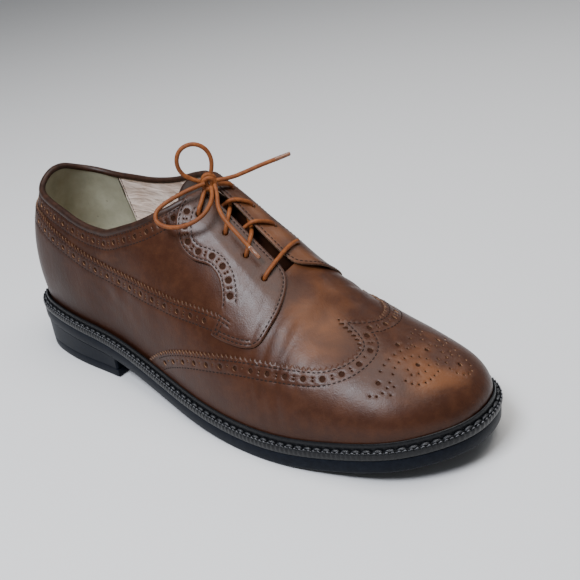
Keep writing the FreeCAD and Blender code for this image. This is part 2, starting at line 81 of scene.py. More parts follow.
# By station, from the heel, 0, to the toe, 14; feather_z_run is by length instead
feather_x = spline([0, 7, 24, 48, 75, 102, 130, 158, 186, 214, 240, 262, 277, 285.5, 288], True,
                    True)
outer_y = spline([0, -20.5, -28.5, -31.5, -32, -35, -40, -45, -47.5, -46.5, -41, -33.5, -21.5,
                  -8.5, 4])
inner_y = spline([0, 20, 28.5, 30, 28, 26.5, 29, 35.5, 42, 44.5, 42.5, 36.5, 28, 17.5, 4])
ridge_x = spline([30, 32, 40, 56, 80, 104, 130, 158, 186, 214, 240, 262, 277, 285.5, 288], True,
                  True)
ridge_y = spline([0, 0, 0, 0, 0, 1.5, 7, 6.5, 5, 4, 4, 4, 4, 4, 4], True, True)
ridge_z = spline([123, 123, 123.5, 126, 130, 126.5, 115.5, 97.5, 78, 62.5, 51.5, 44, 37.5, 31,
                  25.5], True, False)
feather_z_run = spline([34, 31, 26.5, 20.5, 15, 13.05, 16.5, 23.5, 31.5])
wall_rise = spline([.35, .35, .36, .40, .44, .48, .5, .5, .5, .52, .55, .58, .6, .6, .6])
outer_fullness = spline([.93, .93, .90, .83, .76, .66, .55, .5, .5, .52, .56, .60, .62, .62, .62])
inner_fullness = spline([.93, .93, .90, .83, .77, .70, .65, .63, .58, .50, .46, .50, .56, .60,
                         .62])
wall_bulge = spline([6, 6, 5.5, 5, 4, 3, 2, 2, 2.5, 3, 3, 3, 2.5, 1.5, 0])


def feather_z(x):
    return feather_z_run(np.asarray(x, float) / 40.0)


def last_point(u, w):
    """Point of the last in mm; w is -1 on the outer feather line, 0 on the ridge, 1 inside."""
    u = np.clip(u, 0, 14)
    w = np.clip(w, -1, 1)
    outer = w < 0
    t = (1 - np.abs(w))[..., None]
    x = feather_x(u)
    foot = np.stack([x, np.where(outer, outer_y(u), inner_y(u)), feather_z(x)], -1)
    top = np.stack([ridge_x(u), ridge_y(u), ridge_z(u)], -1)
    rise = top[..., 2] - foot[..., 2]
    dx, dy = foot[..., 0] - top[..., 0], foot[..., 1] - top[..., 1]
    width = np.hypot(dx, dy)
    safe = np.where(width > 1e-6, width, 1)
    nx = np.where(width > 1e-6, dx / safe, 0)
    ny = np.where(width > 1e-6, dy / safe, np.where(outer, -1.0, 1.0))
    bulge = wall_bulge(u)
    full = np.where(outer, outer_fullness(u), inner_fullness(u)) * width
    low = foot + np.stack([nx * bulge, ny * bulge, wall_rise(u) * rise], -1)
    high = top + np.stack([nx * full, ny * full, 0 * full], -1)
    return ((1 - t) ** 3 * foot + 3 * (1 - t) ** 2 * t * low
            + 3 * (1 - t) * t * t * high + t ** 3 * top)


def unit(v):
    return v / (np.linalg.norm(v, axis=-1, keepdims=True) + 1e-12)


def last_normal(u, w):
    e = 2e-3
    u = np.clip(u, e, 14 - 2 * e)
    w = np.where(np.abs(w) < 3e-3, np.where(w < 0, -3e-3, 3e-3), w)
    w = np.clip(w, -.998, .998)
    return unit(np.cross(last_point(u + e, w) - last_point(u - e, w),
                         last_point(u, w + e) - last_point(u, w - e)))


def above(u, w, offset):
    """Points in mm, offset mm outside the even last."""
    return last_point(u, w) + last_normal(u, w) * offset


def smooth_noise(p, seed, scale):
    """A soft random field of about -1 to 1, from a few fixed waves."""
    r = np.random.RandomState(seed)
    total = np.zeros(len(p))
    for _ in range(9):
        k = r.normal(size=3)
        k = k / np.linalg.norm(k) * (2 * math.pi / scale) * r.uniform(.6, 1.5)
        total += np.sin(p @ k + r.uniform(0, 2 * math.pi))
    return total / 3.2


def bell(x, middle, width):
    return np.exp(-((x - middle) / width) ** 2)


def sag(u, w, p):
    """How far the worn leather stands off its even surface, mm: rolls, creases, slack."""
    d = .22 * smooth_noise(p, 3, 34)
    # vertical rolls across the vamp, between the tab and the wing
    field = bell(u, 8.75, .62) * np.clip(1.15 - np.abs(w + .12) * 1.25, 0, 1)
    wave = u * 9.0 + 1.1 * np.sin(w * 7) + .5 * smooth_noise(p, 5, 26)
    d += field * (.42 * np.sin(wave) - .10)
    # bending creases over the ball, fanning to both sides
    for middle, slope, depth, width in ((8.35, .55, .45, .07), (8.72, .42, .55, .06),
                                        (9.12, .25, .40, .07), (8.05, .75, .25, .06)):
        line = u - middle - slope * (np.abs(w + .1) - .3) + .05 * np.sin(w * 11 + middle)
        d -= depth * np.exp(-(line / width) ** 2) * bell(np.abs(w + .1), .5, .3)
    # slack under the ankle
    d += .35 * bell(u, 4.6, .9) * bell(w, -.78, .12) * smooth_noise(p, 9, 18)
    # the facing rides over the edge of the leather under it
    d += .35 * bell(w, -.285 - .02 * (u - 7.2), .022) * bell(u, 7.2, .75)
    return d


# How far outside the last each layer of leather starts, mm
QUARTER_OFFSET, VAMP_OFFSET, OVERLAY_OFFSET = 1.9, 2.95, 4.1


def place(u, w, offset):
    """Points in metres in the row frame, offset mm outside the worn last.

    The free corners of the topmost leather, a facing's top and its tab, stand up a little.
    """
    u, w = np.asarray(u, float), np.asarray(w, float)
    p = last_point(u, w)
    n = last_normal(u, w)
    d = sag(u.ravel(), w.ravel(), p.reshape(-1, 3)).reshape(u.shape)
    reach = np.clip((1 - np.abs(w)) / .12, 0, 1) * np.clip((13.6 - u) / 1.2, 0, 1)
    offset = np.asarray(offset)
    flare = (1.0 * bell(u, 6.02, .24) * bell(w, -.35, .06)
             + 1.9 * bell(u, 8.3, .36) * bell(w, .08, .13)
             + .5 * bell(u, 8.36, .16) * bell(w, -.40, .16)) * (offset > OVERLAY_OFFSET - .1)
    return (p + n * (offset + flare + d * reach)[..., None] + SHIFT) * MM


def inner_side(run):
    """A run of places mirrored to the inner side, leaning as the front of the shoe does."""
    out = []
    for u, w in run:
        lean = .18 * min(max((u - 4.0) / 2.0, 0.0), 1.0)
        out.append((u, -w - lean * (1 - abs(w))))
    return out


# ---------------------------------------------------------------- curves in (station, w)
UPPER_OFFSET = 4.5                  # of the face on which the curves' lengths are measured, mm


def smooth_run(run, step=.8):
    """Dense points along a smooth curve through the places, about step mm apart."""
    if len(run) < 3:
        a, b = np.array(run[0]), np.array(run[1])
        t = np.linspace(0, 1, 60)[:, None]
        dense = a + (b - a) * t
    else:
        t = np.linspace(0, len(run) - 1, len(run) * 24)
        dense = np.stack([spline([q[0] for q in run])(t), spline([q[1] for q in run])(t)], -1)
    return evenly(dense, step)


def summed(points):
    """The length of a path up to each of its points."""
    return np.concatenate([[0], np.cumsum(np.linalg.norm(np.diff(points, axis=0), axis=1))])


def lengths(dense, offset=UPPER_OFFSET):
    return summed(above(dense[:, 0], dense[:, 1], offset))


def at_lengths(at, s, run):
    """The run's points at lengths at, s being the length up to each of its points."""
    return np.stack([np.interp(at, s, run[:, 0]), np.interp(at, s, run[:, 1])], -1)


def evenly(dense, step):
    s = lengths(dense)
    n = max(2, int(round(s[-1] / step)) + 1)
    return at_lengths(np.linspace(0, s[-1], n), s, dense)


def axes(u, w):
    """The surface's two directions per unit of station and w, mm."""
    e = 4e-3
    u, w = np.asarray(u, float), np.asarray(w, float)
    u, w = np.clip(u, e, 14 - e), np.clip(w, -1 + e, 1 - e)
    return ((above(u + e, w, UPPER_OFFSET) - above(u - e, w, UPPER_OFFSET)) / (2 * e),
            (above(u, w + e, UPPER_OFFSET) - above(u, w - e, UPPER_OFFSET)) / (2 * e))


def moved(dense, side):
    """The curve moved sideways by side mm (an array or a number); left of travel is positive."""
    du, dw = axes(dense[:, 0], dense[:, 1])
    tangent = np.gradient(dense, axis=0)
    along = unit(tangent[:, :1] * du + tangent[:, 1:] * dw)
    left = np.cross(unit(np.cross(du, dw)), along)
    step = left * (np.asarray(side) * np.ones(len(dense)))[:, None]
    return dense + to_places(step, du, dw)


def to_places(step, du, dw):
    """Small steps in mm on the surface, as steps in (station, w)."""
    a, b, c = (du * du).sum(-1), (du * dw).sum(-1), (dw * dw).sum(-1)
    p, q = (step * du).sum(-1), (step * dw).sum(-1)
    det = a * c - b * b + 1e-9
    return np.stack([(p * c - q * b) / det, (q * a - p * b) / det], -1)


def circle(centre, radius, count):
    """A circle of radius mm round a place, as (station, w) points."""
    u, w = np.array([centre[0]]), np.array([centre[1]])
    du, dw = axes(u, w)
    e1 = unit(du)
    e2 = np.cross(unit(np.cross(du, dw)), e1)
    a = np.linspace(0, 2 * math.pi, count, endpoint=False)[:, None]
    ring = radius * (np.cos(a) * e1 + np.sin(a) * e2)
    return np.array(centre) + to_places(ring, np.repeat(du, count, 0), np.repeat(dw, count, 0))


def inside(points, loop):
    """Which points lie inside a closed loop of (station, w) points."""
    x, y = points[:, 0][:, None], points[:, 1][:, None]
    x0, y0 = loop[:, 0][None], loop[:, 1][None]
    x1, y1 = np.roll(loop[:, 0], -1)[None], np.roll(loop[:, 1], -1)[None]
    crosses = (y0 > y) != (y1 > y)
    at = x0 + (y - y0) / np.where(np.abs(y1 - y0) < 1e-12, 1e-12, y1 - y0) * (x1 - x0)
    return ((crosses & (x < at)).sum(1) % 2) == 1


# ---------------------------------------------------------------- mesh building
STATION_MM, W_MM = 24.0, 95.0        # rough size of a unit of each, to keep triangles even
EDGE_DROP, EDGE_INSET = .24, .4      # rounding of a cut edge, mm
HOLE_DEPTH, HOLE_ROUNDING = .62, .14
CHANNEL_DEPTH = .13                  # of the furrow that a row of stitches lies in


def add_object(name, data):
    obj = bpy.data.objects.new(name, data)
    bpy.context.scene.collection.objects.link(obj)
    return obj


def make_object(name, verts, faces, materials, face_material=None, smooth_angle=45):
    mesh = bpy.data.meshes.new(name)
    mesh.from_pydata([tuple(v) for v in verts], [], [tuple(int(i) for i in f) for f in faces])
    for material in materials:
        mesh.materials.append(material)
    if face_material is not None:
        mesh.polygons.foreach_set("material_index", np.asarray(face_material, np.int32))
    mesh.polygons.foreach_set("use_smooth", np.ones(len(mesh.polygons), bool))
    mesh.update()
    mesh.set_sharp_from_angle(angle=math.radians(smooth_angle))
    return add_object(name, mesh)


def sections(count, size, start=0, round_path=False, round_section=True, flip=False,
             caps=True, turn=0):
    """Faces over count sections of size points; turn shifts the joint of a round path."""
    faces = []
    for i in range(count if round_path else count - 1):
        j = (i + 1) % count
        shift = 0 if j else turn
        for k in range(size if round_section else size - 1):
            m = (k + 1) % size
            faces.append((i * size + k, i * size + m,
                          j * size + (m + shift) % size, j * size + (k + shift) % size))
    if caps and not round_path:
        faces += [tuple(range(size))[::-1], tuple((count - 1) * size + k for k in range(size))]
    return [tuple(start + v for v in (face[::-1] if flip else face)) for face in faces]


def put_value(obj, name, values):
    attribute = obj.data.attributes.new(name, "FLOAT", "POINT")
    attribute.data.foreach_set("value", np.asarray(values, np.float32))


def grid_points(loop, step):
    """Evenly spread places inside the outline, each second row shifted by half a step."""
    out = []
    lo, hi = loop.min(0), loop.max(0)
    row = 0
    u = lo[0]
    while u < hi[0]:
        w = np.linspace(lo[1], hi[1], 240)
        us = np.full_like(w, u)
        s = lengths(np.stack([us, w], -1), 4.0)
        at = np.arange((row % 2) * step / 2, s[-1], step)
        out.append(np.stack([np.full_like(at, u), np.interp(at, s, w)], -1))
        du, _ = axes(np.array([u]), np.array([max(lo[1], min(hi[1], -.6))]))
        u += step * .87 / max(float(np.linalg.norm(du)), 6.0)
        row += 1
    points = np.concatenate(out)
    return points[inside(points, loop)]


def clear_of(points, fixed, gap):
    """The points at least gap mm from all fixed ones."""
    tree = KDTree(len(fixed))
    for i, (u, w) in enumerate(fixed):
        tree.insert((u * STATION_MM, w * W_MM, 0), i)
    tree.balance()
    keep = [tree.find((u * STATION_MM, w * W_MM, 0))[2] > gap for u, w in points]
    return points[np.array(keep, bool)]


def triangulate(loop, rings, lines, free):
    """Triangles over the outline less the rings; returns places, tags and triangles."""
    places, edges, tags = [], [], []
    for ring in rings:
        free = free[~inside(free, ring)]

    def add(points, tag, closed):
        start = len(places)
        for u, w in points:
            places.append((u, w))
            tags.append(tag)
        n = len(points)
        for i in range(n if closed else n - 1):
            edges.append((start + i, start + (i + 1) % n))
    add(loop, 0, True)
    for k, ring in enumerate(rings):
        add(ring, k + 1, True)
    for line in lines:
        add(line, -1, False)
    for u, w in free:
        places.append((u, w))
        tags.append(-2)
    flat = [Vector((u * STATION_MM, w * W_MM)) for u, w in places]
    out = delaunay_2d_cdt(flat, edges, [], 0, 1e-4)
    found = np.array([(v.x / STATION_MM, v.y / W_MM) for v in out[0]])
    kind = np.array([tags[o[0]] if o else -3 for o in out[3]])
    source = np.array([o[0] if o else -1 for o in out[3]])
    tri = np.array([f for f in out[2] if len(f) == 3])
    centre = found[tri].mean(1)
    keep = inside(centre, loop)
    for ring in rings:
        keep &= ~inside(centre, ring)
    tri = tri[keep]
    a, b, c = found[tri[:, 0]], found[tri[:, 1]], found[tri[:, 2]]
    turn = (b[:, 0] - a[:, 0]) * (c[:, 1] - a[:, 1]) - (b[:, 1] - a[:, 1]) * (c[:, 0] - a[:, 0])
    tri[turn < 0] = tri[turn < 0][:, ::-1]
    return found, kind, source, tri


def filled_in(loop):
    """The loop with more points along each side, for keeping others clear of it."""
    t = np.linspace(0, 1, 6)[:-1, None]
    return (loop[:, None] + (np.roll(loop, -1, 0) - loop)[:, None] * t).reshape(-1, 2)


def counter_clockwise(loop):
    x, y = loop[:, 0], loop[:, 1]
    area = (x * np.roll(y, -1) - np.roll(x, -1) * y).sum()
    return loop if area > 0 else loop[::-1]


def joined_loop(*runs):
    """One closed loop of places from dense runs, without repeated points."""
    loop = np.concatenate(runs)
    following = np.roll(loop, -1, 0)
    size = np.hypot((loop[:, 0] - following[:, 0]) * STATION_MM,
                    (loop[:, 1] - following[:, 1]) * W_MM)
    return counter_clockwise(loop[size > .08])


def panel(name, loop, offset, thickness, step, materials, punched=(), through=(),
          channels=(), back_step=4.5):
    """A leather panel over the last: face with punched holes and stitch channels, edge, back.

    The materials are those of its face, cut edge, hole floors, back and hole walls, in turn.
    """
    rings, soft_rings = [], []
    for centre, radius in punched:
        count = 14 if radius > .8 else 9
        rings.append(circle(centre, radius, count))
        soft_rings.append(circle(centre, radius + .32, count))
    n_punched = len(rings)
    for centre, radius in through:
        rings.append(circle(centre, radius, 20))
        soft_rings.append(circle(centre, radius + .4, 20))
    beside = [moved(run, side) for run in channels for side in (.55, -.55)]
    inset = moved(loop, EDGE_INSET)
    inset = inset[inside(inset, loop)]
    hard = np.concatenate([filled_in(loop), *rings, *channels])
    soft = np.concatenate([np.zeros((0, 2)), *soft_rings])
    extra = np.concatenate([inset, *beside])
    extra = clear_of(extra[inside(extra, loop)], np.concatenate([hard, soft]), .28)
    settled = np.concatenate([hard, soft, extra])
    soft = clear_of(soft[inside(soft, loop)], hard, .16)
    free = clear_of(grid_points(loop, step), settled, step * .55)
    free = np.concatenate([extra, soft, free])
    found, kind, source, tri = triangulate(loop, rings, channels, free)

    drop = np.zeros(len(found))
    drop[kind == 0] = EDGE_DROP
    drop[kind > 0] = HOLE_ROUNDING
    drop[kind == -1] = CHANNEL_DEPTH
    top = place(found[:, 0], found[:, 1], offset + thickness - drop)
    count = len(top)
    back_rings = rings[n_punched:]
    b_free = clear_of(grid_points(loop, back_step),
                      np.concatenate([filled_in(loop), *back_rings]), back_step * .5)
    b_found, _, b_source, b_tri = triangulate(loop, back_rings, [], b_free)
    back = place(b_found[:, 0], b_found[:, 1], np.full(len(b_found), offset))
    verts, where = [top, back], [found, b_found]
    faces = [tuple(f) for f in np.concatenate([tri, b_tri[:, ::-1] + count])]
    face_material = [0] * len(tri) + [3] * len(b_tri)
    front_of = {int(s): i for i, s in enumerate(source) if s >= 0}
    back_of = {int(s): i + count for i, s in enumerate(b_source) if s >= 0}
    total = count + len(b_found)

    def wall(upper, lower, material):
        for i in range(len(upper)):
            faces.append((upper[i], upper[i - 1], lower[i - 1], lower[i]))
            face_material.append(material)
    front_at = back_at = len(loop)
    wall([front_of[i] for i in range(front_at)], [back_of[i] for i in range(back_at)], 1)
    for k, ring in enumerate(rings):
        n = len(ring)
        upper = [front_of[front_at + i] for i in range(n)]
        front_at += n
        if k < n_punched:
            verts.append(place(ring[:, 0], ring[:, 1],
                               np.full(n, offset + thickness - HOLE_DEPTH)))
            where.append(ring)
            lower = list(range(total, total + n))
            total += n
            faces.append(tuple(lower))
            face_material.append(2)
        else:
            lower = [back_of[back_at + i] for i in range(n)]
            back_at += n
        wall(upper[::-1], lower[::-1], 4 if k < n_punched else 1)
    obj = make_object(name, np.concatenate(verts), faces, materials, face_material, 50)
    at = np.concatenate(where)
    p = last_point(at[:, 0], at[:, 1])
    put_value(obj, "wear_and_light", wear_and_light_at(at[:, 0], at[:, 1], p))
    put_value(obj, "dark", dark_at(at[:, 0], at[:, 1], p))
    return obj


def wear_and_light_at(u, w, p):
    """Golden tan: wear behind the wing and on the toe, painted light on the vamp and inner facing.
    """
    n = smooth_noise(p, 21, 26) * .5 + smooth_noise(p, 22, 11) * .3
    d = .60 * bell(u, 9.15, .5) * bell(w, -.33, .17) + .35 * bell(u, 8.8, .6) * bell(w, -.12, .3)
    d += .70 * bell(u, 11.5, .55) * bell(w, -.22, .15) + .5 * bell(u, 12.1, .5) * bell(w, -.05, .2)
    # the strong patch on the inner facing is painted light, for the light falling on its top
    d += .38 * bell(u, 11.2, 1.1) * bell(w, 0, .4) + .9 * bell(u, 7.4, 1.0) * bell(w, .06, .13)
    d += .12 * bell(u, 3.5, 2.2) * bell(w, -.62, .22)
    return np.clip(d * (1 + .55 * n) + .06 * n, 0, 1)


def dark_at(u, w, p):
    """Where the leather is coloured darker: round the heel, low by the feather line, at the toe
    tip.
    """
    n = smooth_noise(p, 31, 30) * .5
    d = .75 * bell(u, 1.2, 3.2) + .45 * bell(np.abs(w), 1.0, .16) + .25 * bell(u, 13.6, .8)
    return np.clip(d + .22 * n, 0, 1)


def thread_mesh(name, centre, side, up, radius, taper, material):
    """Stitches from rows of sections: their centres in metres, directions and radius in mm."""
    around = 7
    rings = centre.shape[1]
    a = np.linspace(0, 2 * math.pi, around, endpoint=False)[:, None]
    p = (centre[:, :, None] + MM * radius * np.array(taper)[:, None, None]
         * (np.cos(a) * side[:, :, None] + np.sin(a) * up[:, :, None]))
    faces = [face for i in range(len(centre))
             for face in sections(rings, around, i * rings * around, flip=True)]
    return make_object(name, p.reshape(-1, 3), faces, [material], None, 80)


def stitches(name, runs, offset, material, pitch=2.5, gap=.5, radius=.36, lift=.02):
    """Sewing thread: one short rounded stitch after another along each run."""
    parts = []
    for run in runs:
        s = lengths(run)
        n = max(1, int(s[-1] / pitch))
        each = s[-1] / n
        t = (np.arange(n) * each + gap / 2)[:, None] + np.linspace(0, 1, 5) * (each - gap)
        at = at_lengths(t, s, run)
        rise = np.array([-.20, -.03, .04, -.03, -.20]) * np.ones_like(t)
        centre = place(at[..., 0], at[..., 1], offset + lift + rise)
        along = unit(np.gradient(centre, axis=1))
        side = unit(np.cross(along, last_normal(at[..., 0], at[..., 1])))
        parts.append((centre, side, np.cross(side, along) * .85))
    centre, side, up = [np.concatenate(rows) for rows in zip(*parts)]
    return thread_mesh(name, centre, side, up, radius, [.45, .88, 1, .88, .45], material)


def brogue(run, pitch, large, small):
    """A row of large punched holes with a pair of small ones between each two."""
    s = lengths(run)
    n = max(1, int(round(s[-1] / pitch)))
    at = (np.arange(n) + .5) * s[-1] / n
    between = (at + s[-1] / n / 2)[:-1]
    pairs = [at_lengths(between, s, moved(run, side * small * 1.55)) for side in (1, -1)]
    return ([(spot, large) for spot in at_lengths(at, s, run)]
            + [(spot, small) for pair in zip(*pairs) for spot in pair])


def pinked(run, pitch=2.9, depth=1.9):
    """The run as a zigzag cut edge."""
    s = lengths(run)
    n = int(round(s[-1] / pitch))
    at = np.linspace(0, s[-1], 4 * n + 1)
    dense = at_lengths(at, s, run)
    side = depth / 2 * np.array([0, 1, 0, -1])[np.arange(len(at)) % 4]
    side[0] = side[-1] = 0
    return moved(dense, side)


def sweep(name, path, normals, profile, material):
    """A profile of (down, out) mm carried along a path of (mm) points in the last's frame."""
    down = unit(np.cross(normals, np.gradient(path, axis=0)))
    profile = np.array(profile)
    p = (path[:, None] + down[:, None] * profile[None, :, :1]
         + normals[:, None] * profile[None, :, 1:2])
    return make_object(name, (p.reshape(-1, 3) + SHIFT) * MM,
                       sections(len(path), len(profile)), [material], None, 60)


# ---------------------------------------------------------------- materials
class Shader:
    """A procedural Principled material, built node by node."""

    def __init__(self, name, **values):
        self.material = bpy.data.materials.new(name)
        self.material.use_nodes = True
        self.tree = self.material.node_tree
        self.shader = next(n for n in self.tree.nodes if n.type == "BSDF_PRINCIPLED")
        for socket, value in values.items():
            self.shader.inputs[socket.replace("_", " ")].default_value = value
        self.where = self.node("ShaderNodeTexCoord").outputs["Object"]

    def node(self, kind, **settings):
        made = self.tree.nodes.new(kind)
        for key, value in settings.items():
            setattr(made, key, value)
        return made

    def link(self, a, b):
        self.tree.links.new(a, b)

    def value(self, name):
        return self.node("ShaderNodeAttribute", attribute_name=name).outputs["Fac"]

    def noise(self, scale, detail=4, rough=.55, distortion=0.0, stretch=None):
        made = self.node("ShaderNodeTexNoise")
        made.inputs["Scale"].default_value = scale
        made.inputs["Detail"].default_value = detail
        made.inputs["Roughness"].default_value = rough
        made.inputs["Distortion"].default_value = distortion
        where = self.where
        if stretch:
            mapping = self.node("ShaderNodeMapping")
            mapping.inputs["Scale"].default_value = stretch
            self.link(where, mapping.inputs["Vector"])
            where = mapping.outputs["Vector"]
        self.link(where, made.inputs["Vector"])
        return made.outputs["Fac"]

    def cells(self, scale, feature="F1"):
        made = self.node("ShaderNodeTexVoronoi", feature=feature)
        made.inputs["Scale"].default_value = scale
        self.link(self.where, made.inputs["Vector"])
        return made.outputs["Distance"]

    def band(self, fac, low, high, out_low=0.0, out_high=1.0):
        made = self.node("ShaderNodeMapRange")
        for socket, v in (("From Min", low), ("From Max", high), ("To Min", out_low),
                          ("To Max", out_high)):
            made.inputs[socket].default_value = v
        self.link(fac, made.inputs["Value"])
        return made.outputs["Result"]

    def math(self, operation, a, b):
        made = self.node("ShaderNodeMath", operation=operation)
        for socket, v in zip(made.inputs, (a, b)):
            if isinstance(v, (int, float)):
                socket.default_value = v
            else:
                self.link(v, socket)
        return made.outputs[0]

    def mix(self, fac, a, b, blend="MIX"):
        made = self.node("ShaderNodeMix", data_type="RGBA", blend_type=blend)
        for socket, v in ((made.inputs[0], fac), (made.inputs[6], a), (made.inputs[7], b)):
            if isinstance(v, (int, float)):
                socket.default_value = v
            elif isinstance(v, tuple):
                socket.default_value = (*v, 1)
            else:
                self.link(v, socket)
        return made.outputs[2]

    def colour(self, c):
        if isinstance(c, tuple):
            self.shader.inputs["Base Color"].default_value = (*c, 1)
        else:
            self.link(c, self.shader.inputs["Base Color"])
        return self

    def rough(self, r):
        self.link(r, self.shader.inputs["Roughness"])
        return self

    def bumps(self, *layers):
        normal = None
        for height, strength, distance in layers:
            bump = self.node("ShaderNodeBump")
            bump.inputs["Strength"].default_value = strength
            bump.inputs["Distance"].default_value = distance
            self.link(height, bump.inputs["Height"])
            if normal is not None:
                self.link(normal, bump.inputs["Normal"])
            normal = bump.outputs["Normal"]
        self.link(normal, self.shader.inputs["Normal"])
        return self


def upper_leather(name, base, light, deep, red, gloss):
    s = Shader(name, Specular_IOR_Level=gloss)
    large = s.noise(38, 4, .6)
    mottle = s.noise(170, 5, .65)
    streak = s.noise(60, 5, .6, .6, (1, 1, 2.6))
    c = s.mix(s.band(large, .25, .75), base, red)
    c = s.mix(s.math("MULTIPLY", s.band(mottle, .40, .75), .16), c, light)
    # The tan from this value is partly real wear and partly painted light on the vamp and inner
    # facing.
    wear_and_light = s.value("wear_and_light")
    worn = s.band(s.math("ADD", wear_and_light, s.math("MULTIPLY", s.band(streak, .3, .7, -.5, .5), .40)),
                  .18, .95)
    c = s.mix(s.math("MULTIPLY", worn, .8), c, light)
    c = s.mix(s.math("MULTIPLY", s.band(s.value("dark"), .12, .95), .8), c, deep)
    scratch = s.noise(240, 3, .8, 1.4, (1, .16, .5))
    c = s.mix(s.math("MULTIPLY", s.band(scratch, .66, .80), .30), c, light)
    s.colour(c)
    grain = s.cells(1500)
    fine = s.noise(2600, 3, .6)
    s.rough(s.band(s.math("ADD", s.math("MULTIPLY", mottle, .6), s.math("MULTIPLY", large, .4)),
                   .3, .7, .31, .43))
    wrinkle = s.noise(210, 5, .62, .5, (1, 1, .55))
    s.bumps((wrinkle, .22, .0008), (grain, .16, .00022), (fine, .12, .00012))
    return s.material


CALF = (.033, .0115, .0060), (.150, .056, .021), (.018, .0068, .0042), (.045, .0148, .0070)
leather = upper_leather("calf", *CALF, .15)
polished_leather = upper_leather("polished_calf", *CALF, .26)
toe_leather = upper_leather("toe_calf", *CALF, .22)
# The tongue's calf is the upper's, coloured several times darker: painted shade for the deep throat
# it shows in.
tongue_leather = upper_leather("tongue_calf_painted_shade", (.010, .0042, .0028), (.030, .012, .006),
                               (.006, .0028, .0022), (.014, .0052, .0032), .15)
cut_edge = Shader("leather_cut_edge", Roughness=.75)
# The tan patches are partly the raw edge's own tone, partly painted highlight on the tips of the
# pinked teeth.
cut_edge.colour(cut_edge.mix(cut_edge.band(cut_edge.noise(900), .35, .65),
                             (.050, .022, .011), (.20, .105, .055)))
cut_edge.bumps((cut_edge.noise(2400), .5, .0003))
cut_edge = cut_edge.material
punch_floor = Shader("punch_floor", Roughness=.85, Specular_IOR_Level=.08)
punch_floor.colour(punch_floor.mix(punch_floor.noise(1300), (.016, .0065, .004),
                                   (.042, .017, .009)))
punch_floor = punch_floor.material


def plain(name, first, second, scale, roughness, bump=None, stretch=None, **values):
    """A material of two mottled colours; bump is the scale, strength and depth of its grain."""
    s = Shader(name, Roughness=roughness, **values)
    n = s.noise(scale, 4, .6, 0, stretch)
    s.colour(s.mix(s.band(n, .35, .65), first, second))
    if bump:
        s.bumps((s.noise(bump[0], 4, .6), bump[1], bump[2]))
    return s.material


punch_wall = plain("punch_wall", (.14, .066, .032), (.34, .19, .10), 700, .7, (2400, .4, .0002))
flesh = plain("leather_flesh_side", (.16, .09, .055), (.24, .15, .095), 500, .9, (2200, .5, .0003))
thread = plain("brown_thread", (.007, .0035, .0028), (.020, .009, .006), 2600, .7,
               (6000, .5, .0002), Specular_IOR_Level=.2)
waxed_thread = plain("waxed_thread", (.004, .0045, .006), (.021, .022, .025), 1500, .36,
                     (3800, .6, .0004))
# Pale grey thread for the welt's edge stitches: partly painted highlight, for the light caught on
# the wheeled edge.
welt_thread_painted_highlight = plain("welt_thread_painted_highlight", (.04, .04, .045), (.15, .15, .16), 900, .6, (5000, .5, .0002))
binding = plain("binding_leather", (.016, .0068, .0044), (.036, .0150, .0085), 260, .42,
                (1700, .25, .0002), Specular_IOR_Level=.22)
rubber = plain("sole_rubber", (.0024, .0036, .0070), (.0050, .0070, .0120), 420, .44,
               (1400, .12, .0002), Specular_IOR_Level=.09)
welt_leather = plain("welt_leather", (.0025, .0028, .0036), (.0065, .0070, .0085), 700, .34,
                     (1900, .3, .0002), Specular_IOR_Level=.26)
suede = Shader("heel_suede", Roughness=.95, Specular_IOR_Level=.2)
scuff = suede.band(suede.noise(260, 3, .7), .66, .74)
suede.colour(suede.mix(suede.math("MULTIPLY", scuff, .55),
                       suede.mix(suede.band(suede.noise(60, 5, .6), .3, .7),
                                 (.26, .255, .18), (.39, .38, .285)), (.06, .05, .035)))
suede.bumps((suede.noise(1900, 5, .7), .5, .0004))
suede = suede.material
lining = Shader("quarter_lining_leather", Roughness=.62, Specular_IOR_Level=.45)
lining.colour(lining.mix(lining.band(lining.noise(75, 5, .6), .3, .7),
                         (.62, .46, .37), (.92, .80, .71)))
lining.bumps((lining.noise(150, 5, .6, .8, (.22, 1, 1.2)), .8, .0022),
             (lining.noise(1900), .2, .0002))
lining = lining.material
insole_cover = plain("insole_leather", (.30, .25, .17), (.46, .39, .28), 180, .8, (1500, .4, .0003))
board = plain("leatherboard", (.25, .16, .09), (.38, .26, .16), 600, .85, (1500, .4, .0003))
canvas = plain("rib_canvas", (.45, .42, .34), (.62, .58, .48), 1800, .9, (3000, .6, .0004))
cork = plain("granulated_cork", (.22, .12, .06), (.42, .27, .15), 420, .9, (700, .7, .0008))
stiffener = plain("thermoplastic_sheet", (.50, .46, .38), (.62, .57, .48), 300, .7,
                  (1500, .2, .0002))
steel = plain("brushed_steel", (.42, .42, .43), (.60, .60, .61), 700, .38, (2200, .15, .0001),
              (1, 12, 12), Metallic=1.0)
film = plain("aglet_film", (.10, .034, .014), (.18, .070, .030), 500, .26, Coat_Weight=.6,
             Coat_Roughness=.12)


lace = Shader("waxed_lace", Roughness=.55, Specular_IOR_Level=.25)
lace.colour(lace.mix(lace.math("MULTIPLY", lace.band(lace.noise(90, 3), .45, .75), .5),
                     lace.mix(lace.band(lace.noise(420, 4, .6), .3, .7),
                              (.135, .034, .0075), (.22, .068, .0145)), (.07, .018, .005)))
lace.bumps((lace.noise(1900, 3, .6), .55, .0004))
lace = lace.material


